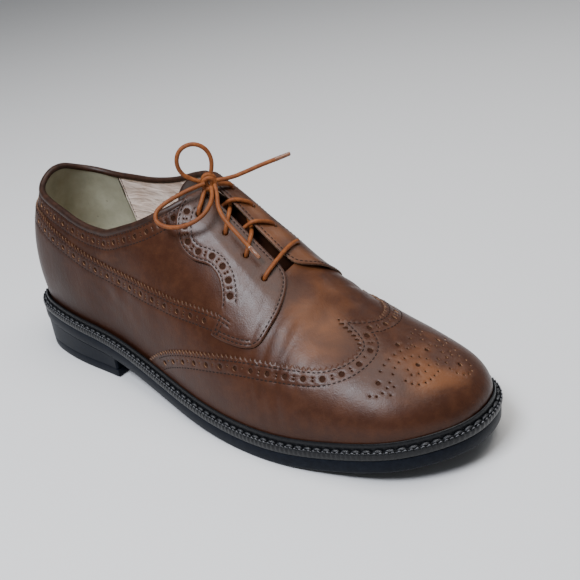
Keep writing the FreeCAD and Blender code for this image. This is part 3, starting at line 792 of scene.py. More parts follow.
# ---------------------------------------------------------------- lines of the upper
TOPLINE = [(.012, -.295), (.35, -.303), (.8, -.338), (1.3, -.372), (1.86, -.40), (2.55, -.436),
           (3.03, -.476), (3.4, -.508), (3.73, -.528), (4.06, -.535), (4.3, -.528), (4.69, -.493),
           (5.2, -.426), (5.59, -.339), (5.75, -.292), (5.9, -.232), (6.05, -.17), (6.14, -.132)]
INNER_TOPLINE = [(.012, .295), (.35, .305), (.9, .345), (1.7, .385), (2.4, .415), (3.2, .436),
                 (3.9, .44), (4.7, .385), (5.3, .28), (5.6, .2), (5.85, .1), (5.98, .01),
                 (6.0, -.028)]
FOXING_EDGE = [(.012, -.46), (.6, -.462), (1.2, -.472), (1.8, -.495), (2.33, -.538),
               (2.85, -.585), (3.42, -.637), (4.1, -.674), (5, -.686), (5.9, -.666), (6.5, -.63),
               (7.16, -.567), (7.45, -.535), (7.72, -.46), (7.9, -.34), (8.0, -.2), (8.03, -.09)]
FACING_REAR = [(5.97, -.2), (5.95, -.26), (5.98, -.31), (6.04, -.355), (6.16, -.407),
               (6.29, -.43), (6.5, -.435), (6.71, -.416), (6.85, -.40), (6.96, -.397),
               (7.09, -.404), (7.21, -.43), (7.32, -.482), (7.36, -.54)]
FACING_TAB = [(7.30, -.645), (7.52, -.637), (7.85, -.613), (8.1, -.583), (8.26, -.535),
              (8.32, -.46), (8.34, -.36), (8.31, -.28), (8.24, -.21), (8.12, -.15),
              (7.95, -.12), (7.7, -.115)]
FACING_FRONT = [(7.7, -.115), (6.9, -.115), (6.12, -.115)]
FACING_TOP = [(6.12, -.115), (6.06, -.16), (5.97, -.2)]
WING_START = 5.42                   # the station where the wings' tails end
WING_EDGE = [(WING_START, -.985), (5.68, -.94), (6.06, -.886), (6.4, -.844), (6.84, -.792),
             (7.35, -.731), (7.8, -.674), (8.2, -.627), (8.59, -.585), (8.95, -.547),
             (9.3, -.51), (9.54, -.47), (9.75, -.407), (9.86, -.343), (9.90, -.284),
             (9.87, -.23), (9.74, -.197), (9.54, -.174), (9.24, -.155)]
INNER_WING_EDGE = [(9.24, -.155), (9.34, -.127), (9.54, -.07), (9.70, .018), (9.72, .12),
                   (9.6, .24), (9.35, .36), (9.0, .46), (8.5, .55), (8.0, .62), (7.35, .71),
                   (6.8, .78), (6.2, .865), (5.7, .94), (WING_START, .985)]
EYELETS = [(6.33, -.242), (6.89, -.214), (7.38, -.222), (7.84, -.243)]
INNER_EYELETS = [(6.42, .05), (6.85, .075), (7.30, .10), (7.72, .15)]
HOLE, PINHOLE = 1.42, .5            # radii of the two brogue punches, mm
EYELET_RADIUS = 1.65
BACK, TOE_STATION = .012, 13.9      # the stations between which the leather runs
LOW_EDGE = 1.0                      # w where the leather ends, on the feather line


def part_of(run, start, end):
    """A dense run between two lengths in mm; a negative end counts from its far end."""
    s = lengths(run)
    end = s[-1] + end if end <= 0 else end
    return at_lengths(np.arange(start, end, .8), s, run)


def straight(a, b, step=1.2):
    return smooth_run([a, b], step)


def round_corners(corners, steps):
    """Straight runs between the corners, each with its own step."""
    return [straight(a, b, step) for a, b, step in zip(corners, corners[1:], steps)]


def through_holes(spots, radius=EYELET_RADIUS):
    return [(spot, radius) for spot in spots]


def bind(obj, slot, *replaced):
    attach(obj, "root")
    if replaced:
        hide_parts(*replaced)
    return obj


def sewn(name, stitching, node, loop, offset, thickness, step, materials, punched, through, rows):
    """A leather panel with rows of stitches in it."""
    leather_panel = panel(name, loop, offset, thickness, step, materials, punched, through, rows)
    bind(leather_panel, "upper_leather", node)
    bind(stitches(stitching, rows, offset + thickness - CHANNEL_DEPTH, thread), "upper_leather")


SHINE = [leather, cut_edge, punch_floor, flesh, punch_wall]
POLISHED = [polished_leather] + SHINE[1:]
TOE_SHINE = [toe_leather] + SHINE[1:]

HIDDEN_STATION = 7.35                # in front of it the facings hide the foxing's edge


def pinked_to(edge):
    """The foxing's edge, zigzag as far as the facing that covers it."""
    split = int((edge[:, 0] < HIDDEN_STATION).sum())
    return np.concatenate([pinked(edge[:split]), edge[split:]])


# Lower piece: foxing and vamp in one, pinked along its upper edge
foxing = smooth_run(FOXING_EDGE)
inner_foxing = smooth_run(inner_side(FOXING_EDGE))
low_corners = [(BACK, .46), (BACK, LOW_EDGE), (TOE_STATION, LOW_EDGE), (TOE_STATION, -LOW_EDGE),
               (BACK, -LOW_EDGE), (BACK, -.46)]
low_loop = joined_loop(pinked_to(foxing), pinked_to(inner_foxing)[::-1],
                       *round_corners(low_corners, (3, 3, 2, 3, 3)))
rows, punched = [], []
for edge, side in ((foxing, -1), (inner_foxing, 1)):
    seam = part_of(edge[edge[:, 0] < HIDDEN_STATION], 1.5, -.5)
    first, second = moved(seam, side * 2.0), moved(seam, side * 8.6)
    rows += [first, second]
    punched += brogue(part_of(moved(seam, side * 5.3), 2, -2), 9.6, HOLE, PINHOLE)
sewn("vamp_and_foxing", "foxing_stitching", "vamp", low_loop, VAMP_OFFSET, 1.0, 1.9, SHINE,
     punched, (), rows)

# Quarters, one each side, under the foxing and facing
for side, top, edge, lace_holes, name in (
        (-1, TOPLINE, FOXING_EDGE, EYELETS, "quarter_lateral"),
        (1, INNER_TOPLINE, inner_side(FOXING_EDGE), INNER_EYELETS, "quarter_medial")):
    under = [(u, w + side * .09) for u, w in edge if u < 7.5]
    front = [(7.6, -.5), (7.86, -.4), (7.98, -.25), (7.96, -.16), (7.7, -.13)]
    lip = [(7.7, -.13), (7.0, -.13), (6.3 if side > 0 else 6.14, -.13)]
    if side > 0:
        front, lip = inner_side(front), inner_side(lip)
    runs = [smooth_run(under, 2), straight(under[-1], front[0]), smooth_run(front, 1.5),
            smooth_run(lip, 1.5), straight(lip[-1], top[-1], 1.0), smooth_run(top, 1.0)[::-1],
            straight(top[0], under[0], 2)]
    loop = joined_loop(*runs)
    collar = part_of(smooth_run(top), 1.5, -3)
    first, second = moved(collar, side * 3.3), moved(collar, side * 10.2)
    first, second = part_of(first, 0, -5), part_of(second, 0, -11)
    holes = brogue(part_of(moved(collar, side * 6.8), 1.5, -11), 8.9, HOLE, PINHOLE)
    sewn(name + "_leather", name + "_stitching", name, loop, QUARTER_OFFSET, .9, 1.9, SHINE,
         holes, through_holes(lace_holes), [first, second])

# Facings, with their brogue strip, blind lace holes and tab
for side, lace_holes, name in ((-1, EYELETS, "facing_lateral"),
                               (1, INNER_EYELETS, "facing_medial")):
    parts = [FACING_REAR, FACING_TAB, FACING_FRONT, FACING_TOP]
    if side > 0:
        parts = [inner_side(run) for run in parts]
    rear, tab, front, top = [smooth_run(run, .8) for run in parts]
    corner = straight(parts[0][-1], parts[1][0], .8)
    loop = joined_loop(rear, corner, tab, front, top)
    outline = np.concatenate([part_of(rear, .5, -.5), corner, part_of(tab, .5, -.5), front])
    rear_seam = part_of(rear, 2.0, -3.0)
    first, second = moved(rear_seam, -side * 1.6), moved(rear_seam, -side * 8.0)
    second = part_of(second, 0, -3)
    holes = brogue(part_of(moved(rear_seam, -side * 4.8), 1, -1.5), 7.9, 1.65, PINHOLE)
    tab_run = evenly(np.concatenate([corner, part_of(tab, .6, -.5), part_of(front, 0, -2)]), .8)
    tab_first = part_of(moved(tab_run, -side * 1.7), 1.5, -2)
    low_run = tab_run[:int(np.argmax(tab_run[:, 0] > 8.2))]
    tab_second = part_of(moved(low_run, -side * 3.9), 4, -1)
    rows = [first, second, tab_first, tab_second]
    bar = [(7.36, -.545), (7.62, -.535)], [(7.36, -.565), (7.62, -.556)]
    for run in bar:
        rows.append(smooth_run(inner_side(run) if side > 0 else list(run), .6))
    sewn(name + "_leather", name + "_stitching", name, loop, OVERLAY_OFFSET, 1.0, 1.5, POLISHED,
         holes, through_holes(lace_holes), rows)

# Wing cap, pinked, with its two rows and the medallion on the toe
wing = smooth_run(WING_EDGE)
inner_wing = smooth_run(INNER_WING_EDGE)
wing_corners = [(WING_START, .985), (WING_START, LOW_EDGE), (TOE_STATION, LOW_EDGE),
                (TOE_STATION, -LOW_EDGE), (WING_START, -LOW_EDGE), (WING_START, -.985)]
loop = joined_loop(pinked(wing), pinked(inner_wing),
                   *round_corners(wing_corners, (1, 3, 2, 3, 1)))
rows, punched = [], []
for edge, other, start, end in ((wing, inner_wing, 12, -.5), (inner_wing, wing, .5, -12)):
    for inset, nearest in ((2.0, 1.9), (8.8, 8.4)):
        rows.append(clear_of(moved(part_of(edge, start, end), -inset), other, nearest))
    middle = clear_of(moved(part_of(edge, start, end), -5.4), other, 5.3)
    punched += brogue(middle, 9.4, HOLE, PINHOLE)
LARGE_DOT, SMALL_DOT = 1.15, .56    # radii of the medallion's punches, mm
LARGE_DOTS = [(11.08, -.155), (10.97, .023), (10.90, .260), (10.43, -.082), (10.60, -.432),
              (11.88, .14)]
SCROLLS = [    # curves of small holes: the places each runs through, and how many holes
    ([(10.98, -.236), (11.13, -.264), (11.33, -.177)], 4),
    ([(11.09, -.335), (11.36, -.334), (11.56, -.248), (11.59, -.112)], 7),
    ([(11.14, -.059), (10.85, -.110), (10.71, -.217), (10.77, -.323)], 7),
    ([(10.81, -.396), (10.81, -.469), (10.72, -.535), (10.57, -.551)], 5),
    ([(10.51, -.341), (10.50, -.233), (10.58, -.119), (10.73, -.018)], 7),
    ([(10.64, -.02), (10.50, .048), (10.38, .196)], 4),
    ([(10.49, .233), (10.64, .127), (10.91, .108)], 4),
    ([(10.93, .373), (11.07, .312), (11.09, .225), (11.02, .153)], 4),
    ([(11.39, .296), (11.36, .213), (11.26, .125)], 3),
    ([(11.34, .004), (11.45, -.037), (11.29, -.104)], 3),
    ([(10.94, -.42), (10.96, -.5)], 2)]
for run, count in SCROLLS:
    dense = smooth_run(run, .2)
    punched += [(dense[int(k)], SMALL_DOT) for k in np.linspace(0, len(dense) - 1, count)]
punched += [(spot, SMALL_DOT) for spot in circle(LARGE_DOTS[-1], 6.6, 11)]
punched += [(spot, LARGE_DOT) for spot in LARGE_DOTS]
punched = [h for i, h in enumerate(punched)
           if all(math.hypot((h[0][0] - g[0][0]) * STATION_MM, (h[0][1] - g[0][1]) * W_MM)
                  > h[1] + g[1] + .5 for g in punched[:i])]
sewn("wing_cap_leather", "wing_stitching", "wing_cap", loop, OVERLAY_OFFSET, 1.0, 1.8, TOE_SHINE,
     punched, (), rows)

# Rolled binding along the top line
outer_top, inner_top = smooth_run(TOPLINE, 1.0), smooth_run(INNER_TOPLINE, 1.0)
path_places = np.concatenate([outer_top[::-1], inner_top])
EDGE_ROLL = [(2.6, 2.95), (2.3, 3.22), (.8, 3.40), (-.1, 3.25), (-.7, 2.75), (-1.0, 1.9),
             (-.95, 1.0), (-.6, .2), (0, -.25), (1.0, -.40), (1.6, -.25), (1.7, 0), (.4, .1),
             (.1, 1.4), (.4, 2.7)]
collar_u, collar_w = path_places.T
at = last_point(collar_u, collar_w)
lift = sag(collar_u, collar_w, at)
out = last_normal(collar_u, collar_w)
bind(sweep("topline_binding_roll", at + out * lift[:, None], out, EDGE_ROLL, binding),
     "binding_leather", "topline_binding")

# Linings, seen in the opening
for side, top, name in ((-1, TOPLINE, "quarter_lining_lateral"),
                        (1, INNER_TOPLINE, "quarter_lining_medial")):
    rear = [q for q in top if q[0] > (2.9 if side < 0 else 2.3)]
    if side < 0:
        front = [(8.35, -1), (8.35, -.22), (8.1, -.175), (7.7, -.155), (6.4, -.155), (6.14, -.13)]
        heel = [rear[0], (3.05, -.6), (3.1, -.8), (3.12, -1)]
        holes = EYELETS
    else:
        front = [(8.35, 1)] + inner_side([(8.35, -.22), (8.1, -.175), (7.7, -.155), (6.4, -.155)])
        front.append((6.0, -.028))
        heel = [rear[0], (2.44, .56), (2.6, .7), (2.85, .85), (3.12, 1)]
        holes = INNER_EYELETS
    loop = joined_loop(*round_corners(front, [2.5] * len(front)), smooth_run(rear, 1.5)[::-1],
                       *round_corners(heel, [2.5] * len(heel)), straight(heel[-1], front[0], 3))
    bind(panel(name + "_leather", loop, 0, .9, 3.0, [lining, cut_edge, punch_floor, lining],
               (), through_holes(holes, 2.4), (), 2.4), "quarter_lining_leather", name)
    seam = part_of(moved(smooth_run(heel[:3], .8), -1.5 * side), 2, -2)
    bind(stitches(name + "_seam", [seam], -.02, thread, 2.4, .4, .25, -.05),
         "quarter_lining_leather")

# Heel lining: one suede piece round the back
HEEL_TOP = [(-3.0, -.471), (-2.55, -.436), (-1.86, -.40), (-1.3, -.372), (-.8, -.338),
            (-.35, -.303), (0, -.295), (.35, -.305), (.9, -.345), (1.7, -.385), (2.33, -.412)]
signed = np.linspace(HEEL_TOP[0][0], HEEL_TOP[-1][0], 150)
top_share = np.interp(signed, [q[0] for q in HEEL_TOP], [1 + q[1] for q in HEEL_TOP]) - .022
levels = np.linspace(0, 1, 44)
share = top_share[:, None] * levels[None] + .01
inner_end = np.interp(share, [0, .15, .3, .44, .59], [3.0, 2.78, 2.53, 2.37, 2.33])
station = np.abs(signed)[:, None] * np.where(signed[:, None] > 0, inner_end / 2.33, 1)
station = np.maximum(station, .006)
w = np.where(signed[:, None] < 0, -(1 - share), 1 - share)
depth = .25 * smooth_noise(last_point(station.ravel(), w.ravel()), 41, 22).reshape(share.shape)
inner_face = place(station, w, depth * .5)
outer_face = place(station, w, depth * .5 + .9)
verts = np.concatenate([inner_face.reshape(-1, 3), outer_face.reshape(-1, 3)])
n_face = share.size
faces = (sections(*share.shape, round_section=False, flip=True, caps=False)
         + sections(*share.shape, n_face, round_section=False, caps=False))
index = np.arange(n_face).reshape(share.shape)
rim = np.concatenate([index[:, 0], index[-1, 1:], index[-2::-1, -1], index[0, -2:0:-1]])
faces += [(b, a, a + n_face, b + n_face) for a, b in zip(rim, np.roll(rim, -1))]
bind(make_object("heel_lining_suede", verts, faces, [suede]), "heel_suede", "heel_lining")

# Tongue, soft and slightly padded; its base is sewn in at the throat
tongue_loop = joined_loop(smooth_run([(5.9, -.3), (7, -.36), (8.3, -.34)], 1.2),
                          straight((8.3, -.34), (8.3, .26)),
                          smooth_run([(8.3, .26), (7, .24), (5.9, .16)], 1.2),
                          smooth_run([(5.9, .16), (5.72, .06), (5.68, -.06), (5.72, -.2),
                                      (5.9, -.3)], 1.2))
tongue = panel("tongue_leather", tongue_loop, -4.5, 1.5, 1.8,
               [tongue_leather, cut_edge, punch_floor, flesh], (), (),
               [moved(smooth_run([(6.1, .13), (5.84, .05), (5.79, -.06), (5.84, -.18),
                                  (6.1, -.27)], .8), 0)])
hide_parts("tongue")
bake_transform(tongue)


# ---------------------------------------------------------------- welt, sole and heel
def sole_ring(count):
    """The feather line in plan: outer side heel to toe, then back; points and outward normals."""
    u = np.linspace(0, 14, 3000)
    sides = []
    for y in (outer_y, inner_y):
        run = np.stack([feather_x(u), y(u)], -1)
        s = summed(run)
        sides.append(at_lengths(np.linspace(0, s[-1], count + 1), s, run))
    ring = np.concatenate([sides[0][:-1], sides[1][::-1][:-1]])
    tangent = unit(np.roll(ring, -3, 0) - np.roll(ring, 3, 0))
    normal = np.stack([tangent[:, 1], -tangent[:, 0]], -1)
    if (normal * (ring - ring.mean(0))).sum() < 0:
        normal = -normal
    return ring, normal


def ring_solid(name, ring, normal, profile, material, filled=False):
    """A section of (outward, up from the feather line) mm carried round the sole."""
    n, m = len(ring), len(profile)
    rows = []
    for out_mm, up_mm in profile:
        xy = ring + normal * np.reshape(out_mm, (-1, 1))
        rows.append(np.concatenate([xy, (feather_z(ring[:, 0]) + up_mm)[:, None]], 1))
    p = np.stack(rows, 1)
    verts = list(p.reshape(-1, 3))
    faces = sections(n, m, round_path=True, round_section=not filled)
    if filled:
        half = n // 2
        for level, up in ((0, True), (m - 1, False)):
            across = 14
            index = {}
            for k in range(half + 1):
                a, b = k, (n - k) % n
                for t in range(across + 1):
                    if t == 0 or k in (0, half):
                        index[k, t] = a * m + level
                    elif t == across:
                        index[k, t] = b * m + level
                    else:
                        point = p[a, level] + (p[b, level] - p[a, level]) * t / across
                        verts.append(point)
                        index[k, t] = len(verts) - 1
            for k in range(half):
                for t in range(across):
                    quad = [index[k, t], index[k + 1, t], index[k + 1, t + 1], index[k, t + 1]]
                    quad = [q for i, q in enumerate(quad) if q not in quad[:i]]
                    if len(quad) > 2:
                        faces.append(quad if up else quad[::-1])
    return make_object(name, (np.array(verts) + SHIFT) * MM, faces, [material], None, 40)


ring, ring_normal = sole_ring(900)
distance = summed(np.concatenate([ring, ring[:1]]))
total = distance[-1]
TOOTH_PITCH = 2.4
tooth = .5 + .5 * np.cos(2 * math.pi * distance[:-1] / (total / round(total / TOOTH_PITCH)))
WELT = [(2.0, -5.4), (2.0, -2.2), (5.0, -1.9), (5.1, 1.0), (5.3, 1.7), (5.7, 2.1), (6.2, 1.95),
        (6.5, 1.35), (6.6, .2), (6.7, -1.2), (6.9, -1.9), (7.5, -2.05), (8.3, -1.9),
        (8.55, -1.3 - .25 * tooth), (8.9, -1.0 - .45 * tooth),
        (9.35 - .25 * tooth, -1.15 - .5 * tooth), (9.65 - .34 * tooth, -2.1),
        (9.6 - .25 * tooth, -3.4), (9.4, -4.6), (9.0, -5.4)]
bind(ring_solid("storm_welt", ring, ring_normal, WELT, welt_leather), "welt_leather", "welt")
OUTSOLE = [(8.3, -5.5), (8.85, -5.75), (9.1, -6.4), (9.2, -8.9), (9.1, -11.9), (8.8, -12.6),
           (8.2, -12.95), (7.6, -13.0)]
bind(ring_solid("rubber_outsole", ring[::3], ring_normal[::3], OUTSOLE, rubber, True),
     "sole_rubber", "outsole")


def ring_stitches(name, out_mm, up_mm, pitch, gap, radius, material):
    """Stitches round the whole welt; gap is a share of the pitch."""
    n = int(round(total / pitch))
    t = (np.arange(n)[:, None] + np.linspace(gap / 2, 1 - gap / 2, 5)[None]) * total / n
    at = at_lengths(t, distance, np.concatenate([ring, ring[:1]]))
    out = at_lengths(t, distance, np.concatenate([ring_normal, ring_normal[:1]]))
    bow = np.array([-.35, .05, .15, .05, -.35])
    height = feather_z(at[..., 0]) + up_mm + bow
    centre = np.concatenate([at + out * out_mm, height[..., None]], -1)
    side = np.concatenate([out, np.zeros_like(height)[..., None]], -1)
    up = np.zeros_like(side) + (0, 0, 1)
    return thread_mesh(name, (centre + SHIFT) * MM, side, up, radius, [.5, .95, 1, .95, .5],
                       material)


bind(ring_stitches("welt_lockstitch", 7.55, -1.25, 4.8, .16, .92, waxed_thread), "welt_leather")
# These pale stitches also stand in for the highlights on the welt's wheeled edge.
bind(ring_stitches("welt_edge_stitch", 9.05, -1.05, TOOTH_PITCH, .45, .24, welt_thread_painted_highlight),
     "welt_leather")

BREAST_X = 80.0                     # of the heel's front face, mm from the back of the last
LIFT_HEIGHT, SOLE_DEPTH = 6.0, 13.0  # of the heel's top piece, and of the sole's underside


def heel_plan(inset):
    """The heel's outline in plan, mm, with its front breast slightly hollowed."""
    rim = ring + ring_normal * (8.9 - inset)
    lateral = rim[:900][rim[:900, 0] < BREAST_X - inset][::4]
    medial = rim[900:][rim[900:, 0] < BREAST_X - inset][::4]
    t = np.linspace(0, 1, 16)[1:-1, None]
    breast = lateral[-1] + (medial[0] - lateral[-1]) * t
    breast[:, 0] -= 2.2 * np.sin(math.pi * t[:, 0])
    return np.concatenate([lateral, breast, medial])


def heel_slab(name, levels, under_sole, node):
    """A slice of the heel from (inset, height) levels: mm, or shares of the height to the sole."""
    loops = [heel_plan(inset) for inset, _ in levels]
    count = min(len(loop) for loop in loops)
    verts = []
    for loop, (_, height) in zip(loops, levels):
        outline = np.concatenate([loop, loop[:1]])
        s = summed(outline)
        plan = at_lengths(np.linspace(0, s[-1], count, endpoint=False), s, outline)
        if under_sole:
            z = LIFT_HEIGHT + height * (feather_z(plan[:, 0]) - SOLE_DEPTH - LIFT_HEIGHT)
        else:
            z = np.full(count, height)
        verts.append(np.concatenate([plan, z[:, None]], 1))
    bind(make_object(name, (np.concatenate(verts) + SHIFT) * MM, sections(len(levels), count),
                     [rubber], None, 35), "sole_rubber", node)


heel_slab("heel_stack", [(1.1, .012), (.8, .03), (.7, .5), (.45, .96), (.8, .995)], True,
          "heel_block")
heel_slab("heel_top_lift", [(1.9, 0.0), (1.25, .35), (1.05, 1.0), (.9, 5.3), (1.2, 5.85),
                            (1.6, 5.97)], False, "heel_top_piece")

# ---------------------------------------------------------------- laces
LACE_RADIUS = 1.15
UPPER_LOOP = [(142, -1.9, 123), (143.2, -.6, 128.6), (142.8, -.4, 134.2), (140.6, -2.4, 139.3),
              (136.4, -6.4, 141.8), (132, -10.8, 139.8), (129.9, -12.8, 134.6),
              (130, -12.4, 128.6), (132.8, -9.9, 123.6), (137.6, -5.2, 120.6)]
LOWER_LOOP = [(141.2, -6, 120.4), (138, -11.6, 119.6), (133, -17.8, 117.2), (128.4, -23.8, 114.4),
              (125.2, -28.8, 110.8), (127.2, -31.6, 106.4), (133.4, -30.8, 104.2),
              (140.6, -28.2, 104.4), (147, -24.4, 106.4), (150.8, -19, 109.6),
              (150.4, -12.6, 113.4), (147.6, -7.6, 116.4), (144.4, -4.9, 118.4)]
INNER_END = [(144, -.3, 120.6), (149, 5.4, 120.4), (155, 12.2, 122.6), (161, 18, 125.2),
             (166.4, 23.5, 126.9)]
OUTER_END = [(144.4, -2, 118.7), (148.2, -5, 115.6), (151.6, -9.4, 111.6), (156.6, -12, 106.4),
             (163, -12.6, 101.6), (169.2, -13.2, 97.2), (174.4, -13.6, 93.4)]
INNER_AGLET_END = (171.8, 28.9, 128.8)
OUTER_AGLET_END = (180.4, -13.9, 88.9)
TOP_RUN, EDGE_RUN, DEEP_RUN = 6.9, 7.3, -1.5


def held_route():
    """The stretch through the lace holes: knot, outer side, straight bar, inner side, knot."""
    route = [(139.9, -4.8, 117.2)]

    def add(u, w, offset):
        route.append(tuple(above(np.array(u), np.array(w), offset)))

    def through(spot, inwards):
        for offset in ((TOP_RUN, DEEP_RUN) if inwards else (DEEP_RUN, TOP_RUN)):
            add(*spot, offset)

    def cross(rise, middle, sink):
        add(*rise)
        add(*middle, 2.6)
        add(*sink)
    add(6.28, -.175, 7.6)
    through(EYELETS[0], True)
    cross((6.5, -.15, DEEP_RUN), (6.56, -.078), (6.63, -.044, EDGE_RUN))
    through(INNER_EYELETS[1], True)
    cross((7.1, -.012, DEEP_RUN), (7.18, -.08), (7.24, -.114, EDGE_RUN))
    through(EYELETS[2], True)
    through(EYELETS[3], False)
    add(7.83, -.14, 7.2)
    add(7.79, -.03, 7.4)
    add(7.75, .07, 7.2)
    through(INNER_EYELETS[3], True)
    through(INNER_EYELETS[2], False)
    cross((7.12, -.044, EDGE_RUN), (7.06, -.078), (7.0, -.148, DEEP_RUN))
    through(EYELETS[1], False)
    cross((6.74, -.114, EDGE_RUN), (6.68, -.08), (6.6, -.012, DEEP_RUN))
    through(INNER_EYELETS[0], False)
    add(6.34, -.01, 8.0)
    route.append((141.4, .2, 117.6))
    return route


def cord_curve(name, route, node):
    """The lace's stretch as one NURBS spline of its route."""
    curve = bpy.data.curves.new(name, "CURVE")
    curve.dimensions = "3D"
    curve.resolution_u = 8
    curve.bevel_depth = LACE_RADIUS * MM
    curve.bevel_resolution = 4
    curve.use_fill_caps = True
    run = curve.splines.new("NURBS")
    run.points.add(len(route) - 1)
    for point, at in zip(run.points, route):
        point.co = (*((np.array(at) + SHIFT) * MM), 1)
    run.order_u = 3
    run.use_endpoint_u = True
    run.use_smooth = True
    curve.materials.append(lace)
    return bind(add_object(name, curve), "lace_cord", node)


def row(point):
    return tuple(float(v) for v in (np.array(point) + SHIFT) * MM)


cord_curve("lacing_cord", held_route(), "lace_lacing")
upper_loop = cord_curve("bow_loop_upper", UPPER_LOOP, "lace_loop_upper")
lower_loop = cord_curve("bow_loop_lower", LOWER_LOOP, "lace_loop_lower")
inner_end = cord_curve("lace_tail_medial", INNER_END, "lace_end_medial")
outer_end = cord_curve("lace_tail_lateral", OUTER_END, "lace_end_lateral")


def tube(name, path, radius, material, closed, around=14):
    """A round tube round a path of mm points, with radius a number or one for each point."""
    path = np.array(path, float)
    n = len(path)
    along = unit(np.roll(path, -1, 0) - np.roll(path, 1, 0) if closed
                 else np.gradient(path, axis=0))
    reference = np.cross(along[0], (0.3, .2, 1.0))
    frames = []
    for t in along:
        reference = unit(reference - t * (reference @ t))
        frames.append(reference)
    side = np.array(frames)
    up = np.cross(along, side)
    angle = np.linspace(0, 2 * math.pi, around, endpoint=False)[:, None]
    size = (np.asarray(radius) * np.ones(n))[:, None, None]
    p = path[:, None] + size * (np.cos(angle) * side[:, None] + np.sin(angle) * up[:, None])
    turn = math.atan2(side[-1] @ up[0], side[-1] @ side[0]) / (2 * math.pi) * around
    faces = sections(n, around, round_path=closed, turn=int(round(turn)))
    return make_object(name, (p.reshape(-1, 3) + SHIFT) * MM, faces, [material], None, 60)


def wrap(middle, axis, wide, high, tilt):
    """An oval turn of lace round the knot."""
    axis = unit(np.array(axis, float))
    side = unit(np.cross(axis, (0, 0, 1.0)))
    up = np.cross(side, axis)
    a = np.linspace(0, 2 * math.pi, 40, endpoint=False)
    return [np.array(middle) + side * wide * math.cos(t) + up * high * math.sin(t)
            + axis * tilt * math.sin(t + .6) for t in a]


KNOT_TURNS = [    # middle, axis, half width, half height, tilt, radius
    ((141.2, -2.6, 120.2), (.55, -.8, .1), 3.3, 4.2, .9, 1.2),
    ((141.9, -3.3, 119.4), (.8, -.55, -.3), 3.2, 3.3, -.9, 1.2),
    ((140.7, -2.2, 119.0), (.2, -.5, 1.0), 3.6, 2.9, .8, 1.15),
    ((141.3, -2.8, 119.9), (.55, -.8, .1), 1.5, 2.2, .5, 1.25)]
knot = add_object("bow_knot", bpy.data.meshes.new("bow_knot"))
together = bmesh.new()
for *turn, radius in KNOT_TURNS:
    part = tube("knot_turn", wrap(*turn), radius, lace, True)
    together.from_mesh(part.data)
    bpy.data.objects.remove(part)
together.to_mesh(knot.data)
together.free()
knot.data.materials.append(lace)
bind(knot, "lace_cord", "lace_knot")

for name, route, tip, node in (("aglet_sleeve_medial", INNER_END, INNER_AGLET_END, "aglet_medial"),
                               ("aglet_sleeve_lateral", OUTER_END, OUTER_AGLET_END,
                                "aglet_lateral")):
    a, b = np.array(route[-1], float), np.array(tip, float)
    t = np.array([-.06, -.05, 0, .06, .5, .9, .97, 1.0])
    r = np.array([.9, 1.22, 1.26, 1.18, 1.12, 1.08, .95, .55])
    bind(tube(name, a + (b - a) * t[:, None], r, film, False, 20),
                       "aglet_plastic", node)

# ---------------------------------------------------------------- CAD pieces that stay shown
FINISH = {"insole": (board, "insole_board"), "sock_liner": (insole_cover, "quarter_lining_leather"),
          "insole_rib": (canvas, "rib_canvas"), "shank": (steel, "shank_steel"),
          "cork_filler": (cork, "cork"), "vamp_lining": (lining, "quarter_lining_leather"),
          "toe_puff": (stiffener, "stiffener"), "heel_counter": (stiffener, "stiffener")}
for name, (material, slot_name) in FINISH.items():
    nodes[name].data.materials.clear()
    nodes[name].data.materials.append(material)
for name, node in nodes.items():
    if name.startswith("blind_eyelet"):
        node.data.materials.clear()
        node.data.materials.append(steel)

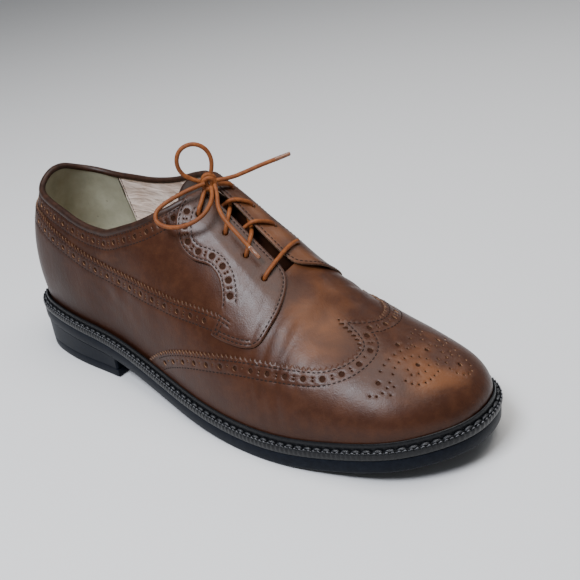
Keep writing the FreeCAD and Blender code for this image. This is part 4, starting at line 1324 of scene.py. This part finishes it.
# ---------------------------------------------------------------- floor, light and camera
floor_mesh = bpy.data.meshes.new("floor")
floor_mesh.from_pydata([(-3, -3, 0), (3, -3, 0), (3, 3, 0), (-3, 3, 0)], [], [(0, 1, 2, 3)])
floor = add_object("floor", floor_mesh)
paper = Shader("pale_floor", Roughness=.9, Specular_IOR_Level=.1)
paper.colour((.66, .66, .66))
floor_mesh.materials.append(paper.material)

world = bpy.data.worlds.new("studio")
bpy.context.scene.world = world
world.use_nodes = True
sky = world.node_tree.nodes["Background"].inputs
sky["Color"].default_value = (.93, .96, 1.0, 1)
sky["Strength"].default_value = .20


def soft_light(name, where, aim, size, power, colour=(1, 1, 1)):
    data = bpy.data.lights.new(name, "AREA")
    data.shape = "RECTANGLE"
    data.size, data.size_y = size
    data.energy = power
    data.color = colour
    obj = add_object(name, data)
    obj.location = where
    obj.rotation_euler = (Vector(aim) - Vector(where)).to_track_quat("-Z", "Y").to_euler()


soft_light("key", (.02, -.72, 1.06), (0, 0, .06), (.50, .34), 22.0, (.88, .92, 1))
soft_light("ceiling", (.15, .05, 1.3), (0, 0, .05), (1.1, .9), 15.5, (1, .97, .93))
soft_light("rear", (.25, .9, .7), (0, 0, .06), (.5, .25), 1.2, (.95, .97, 1))

AZIMUTH, ELEVATION, ROLL = math.radians(44.716), math.radians(27.518), math.radians(-8.291)
DISTANCE, TARGET = .507065, Vector((.001, .00157, .045))
LENS, SENSOR, SHIFT_X, SHIFT_Y = 56.2686, 36.0, .092873, .030503
back = Vector((math.sin(AZIMUTH) * math.cos(ELEVATION), -math.cos(AZIMUTH) * math.cos(ELEVATION),
               math.sin(ELEVATION)))
level = Vector((math.cos(AZIMUTH), math.sin(AZIMUTH), 0))
upright = back.cross(level)
right = level * math.cos(ROLL) + upright * math.sin(ROLL)
up = upright * math.cos(ROLL) - level * math.sin(ROLL)
camera_data = bpy.data.cameras.new("camera")
camera_data.sensor_width = SENSOR
camera_data.lens = LENS
camera_data.shift_x, camera_data.shift_y = SHIFT_X, SHIFT_Y
camera_data.clip_start = .02
camera = add_object("camera", camera_data)
place_at = TARGET + back * DISTANCE
camera.matrix_world = Matrix(((right.x, up.x, back.x, place_at.x),
                              (right.y, up.y, back.y, place_at.y),
                              (right.z, up.z, back.z, place_at.z), (0, 0, 0, 1)))
bpy.context.scene.camera = camera
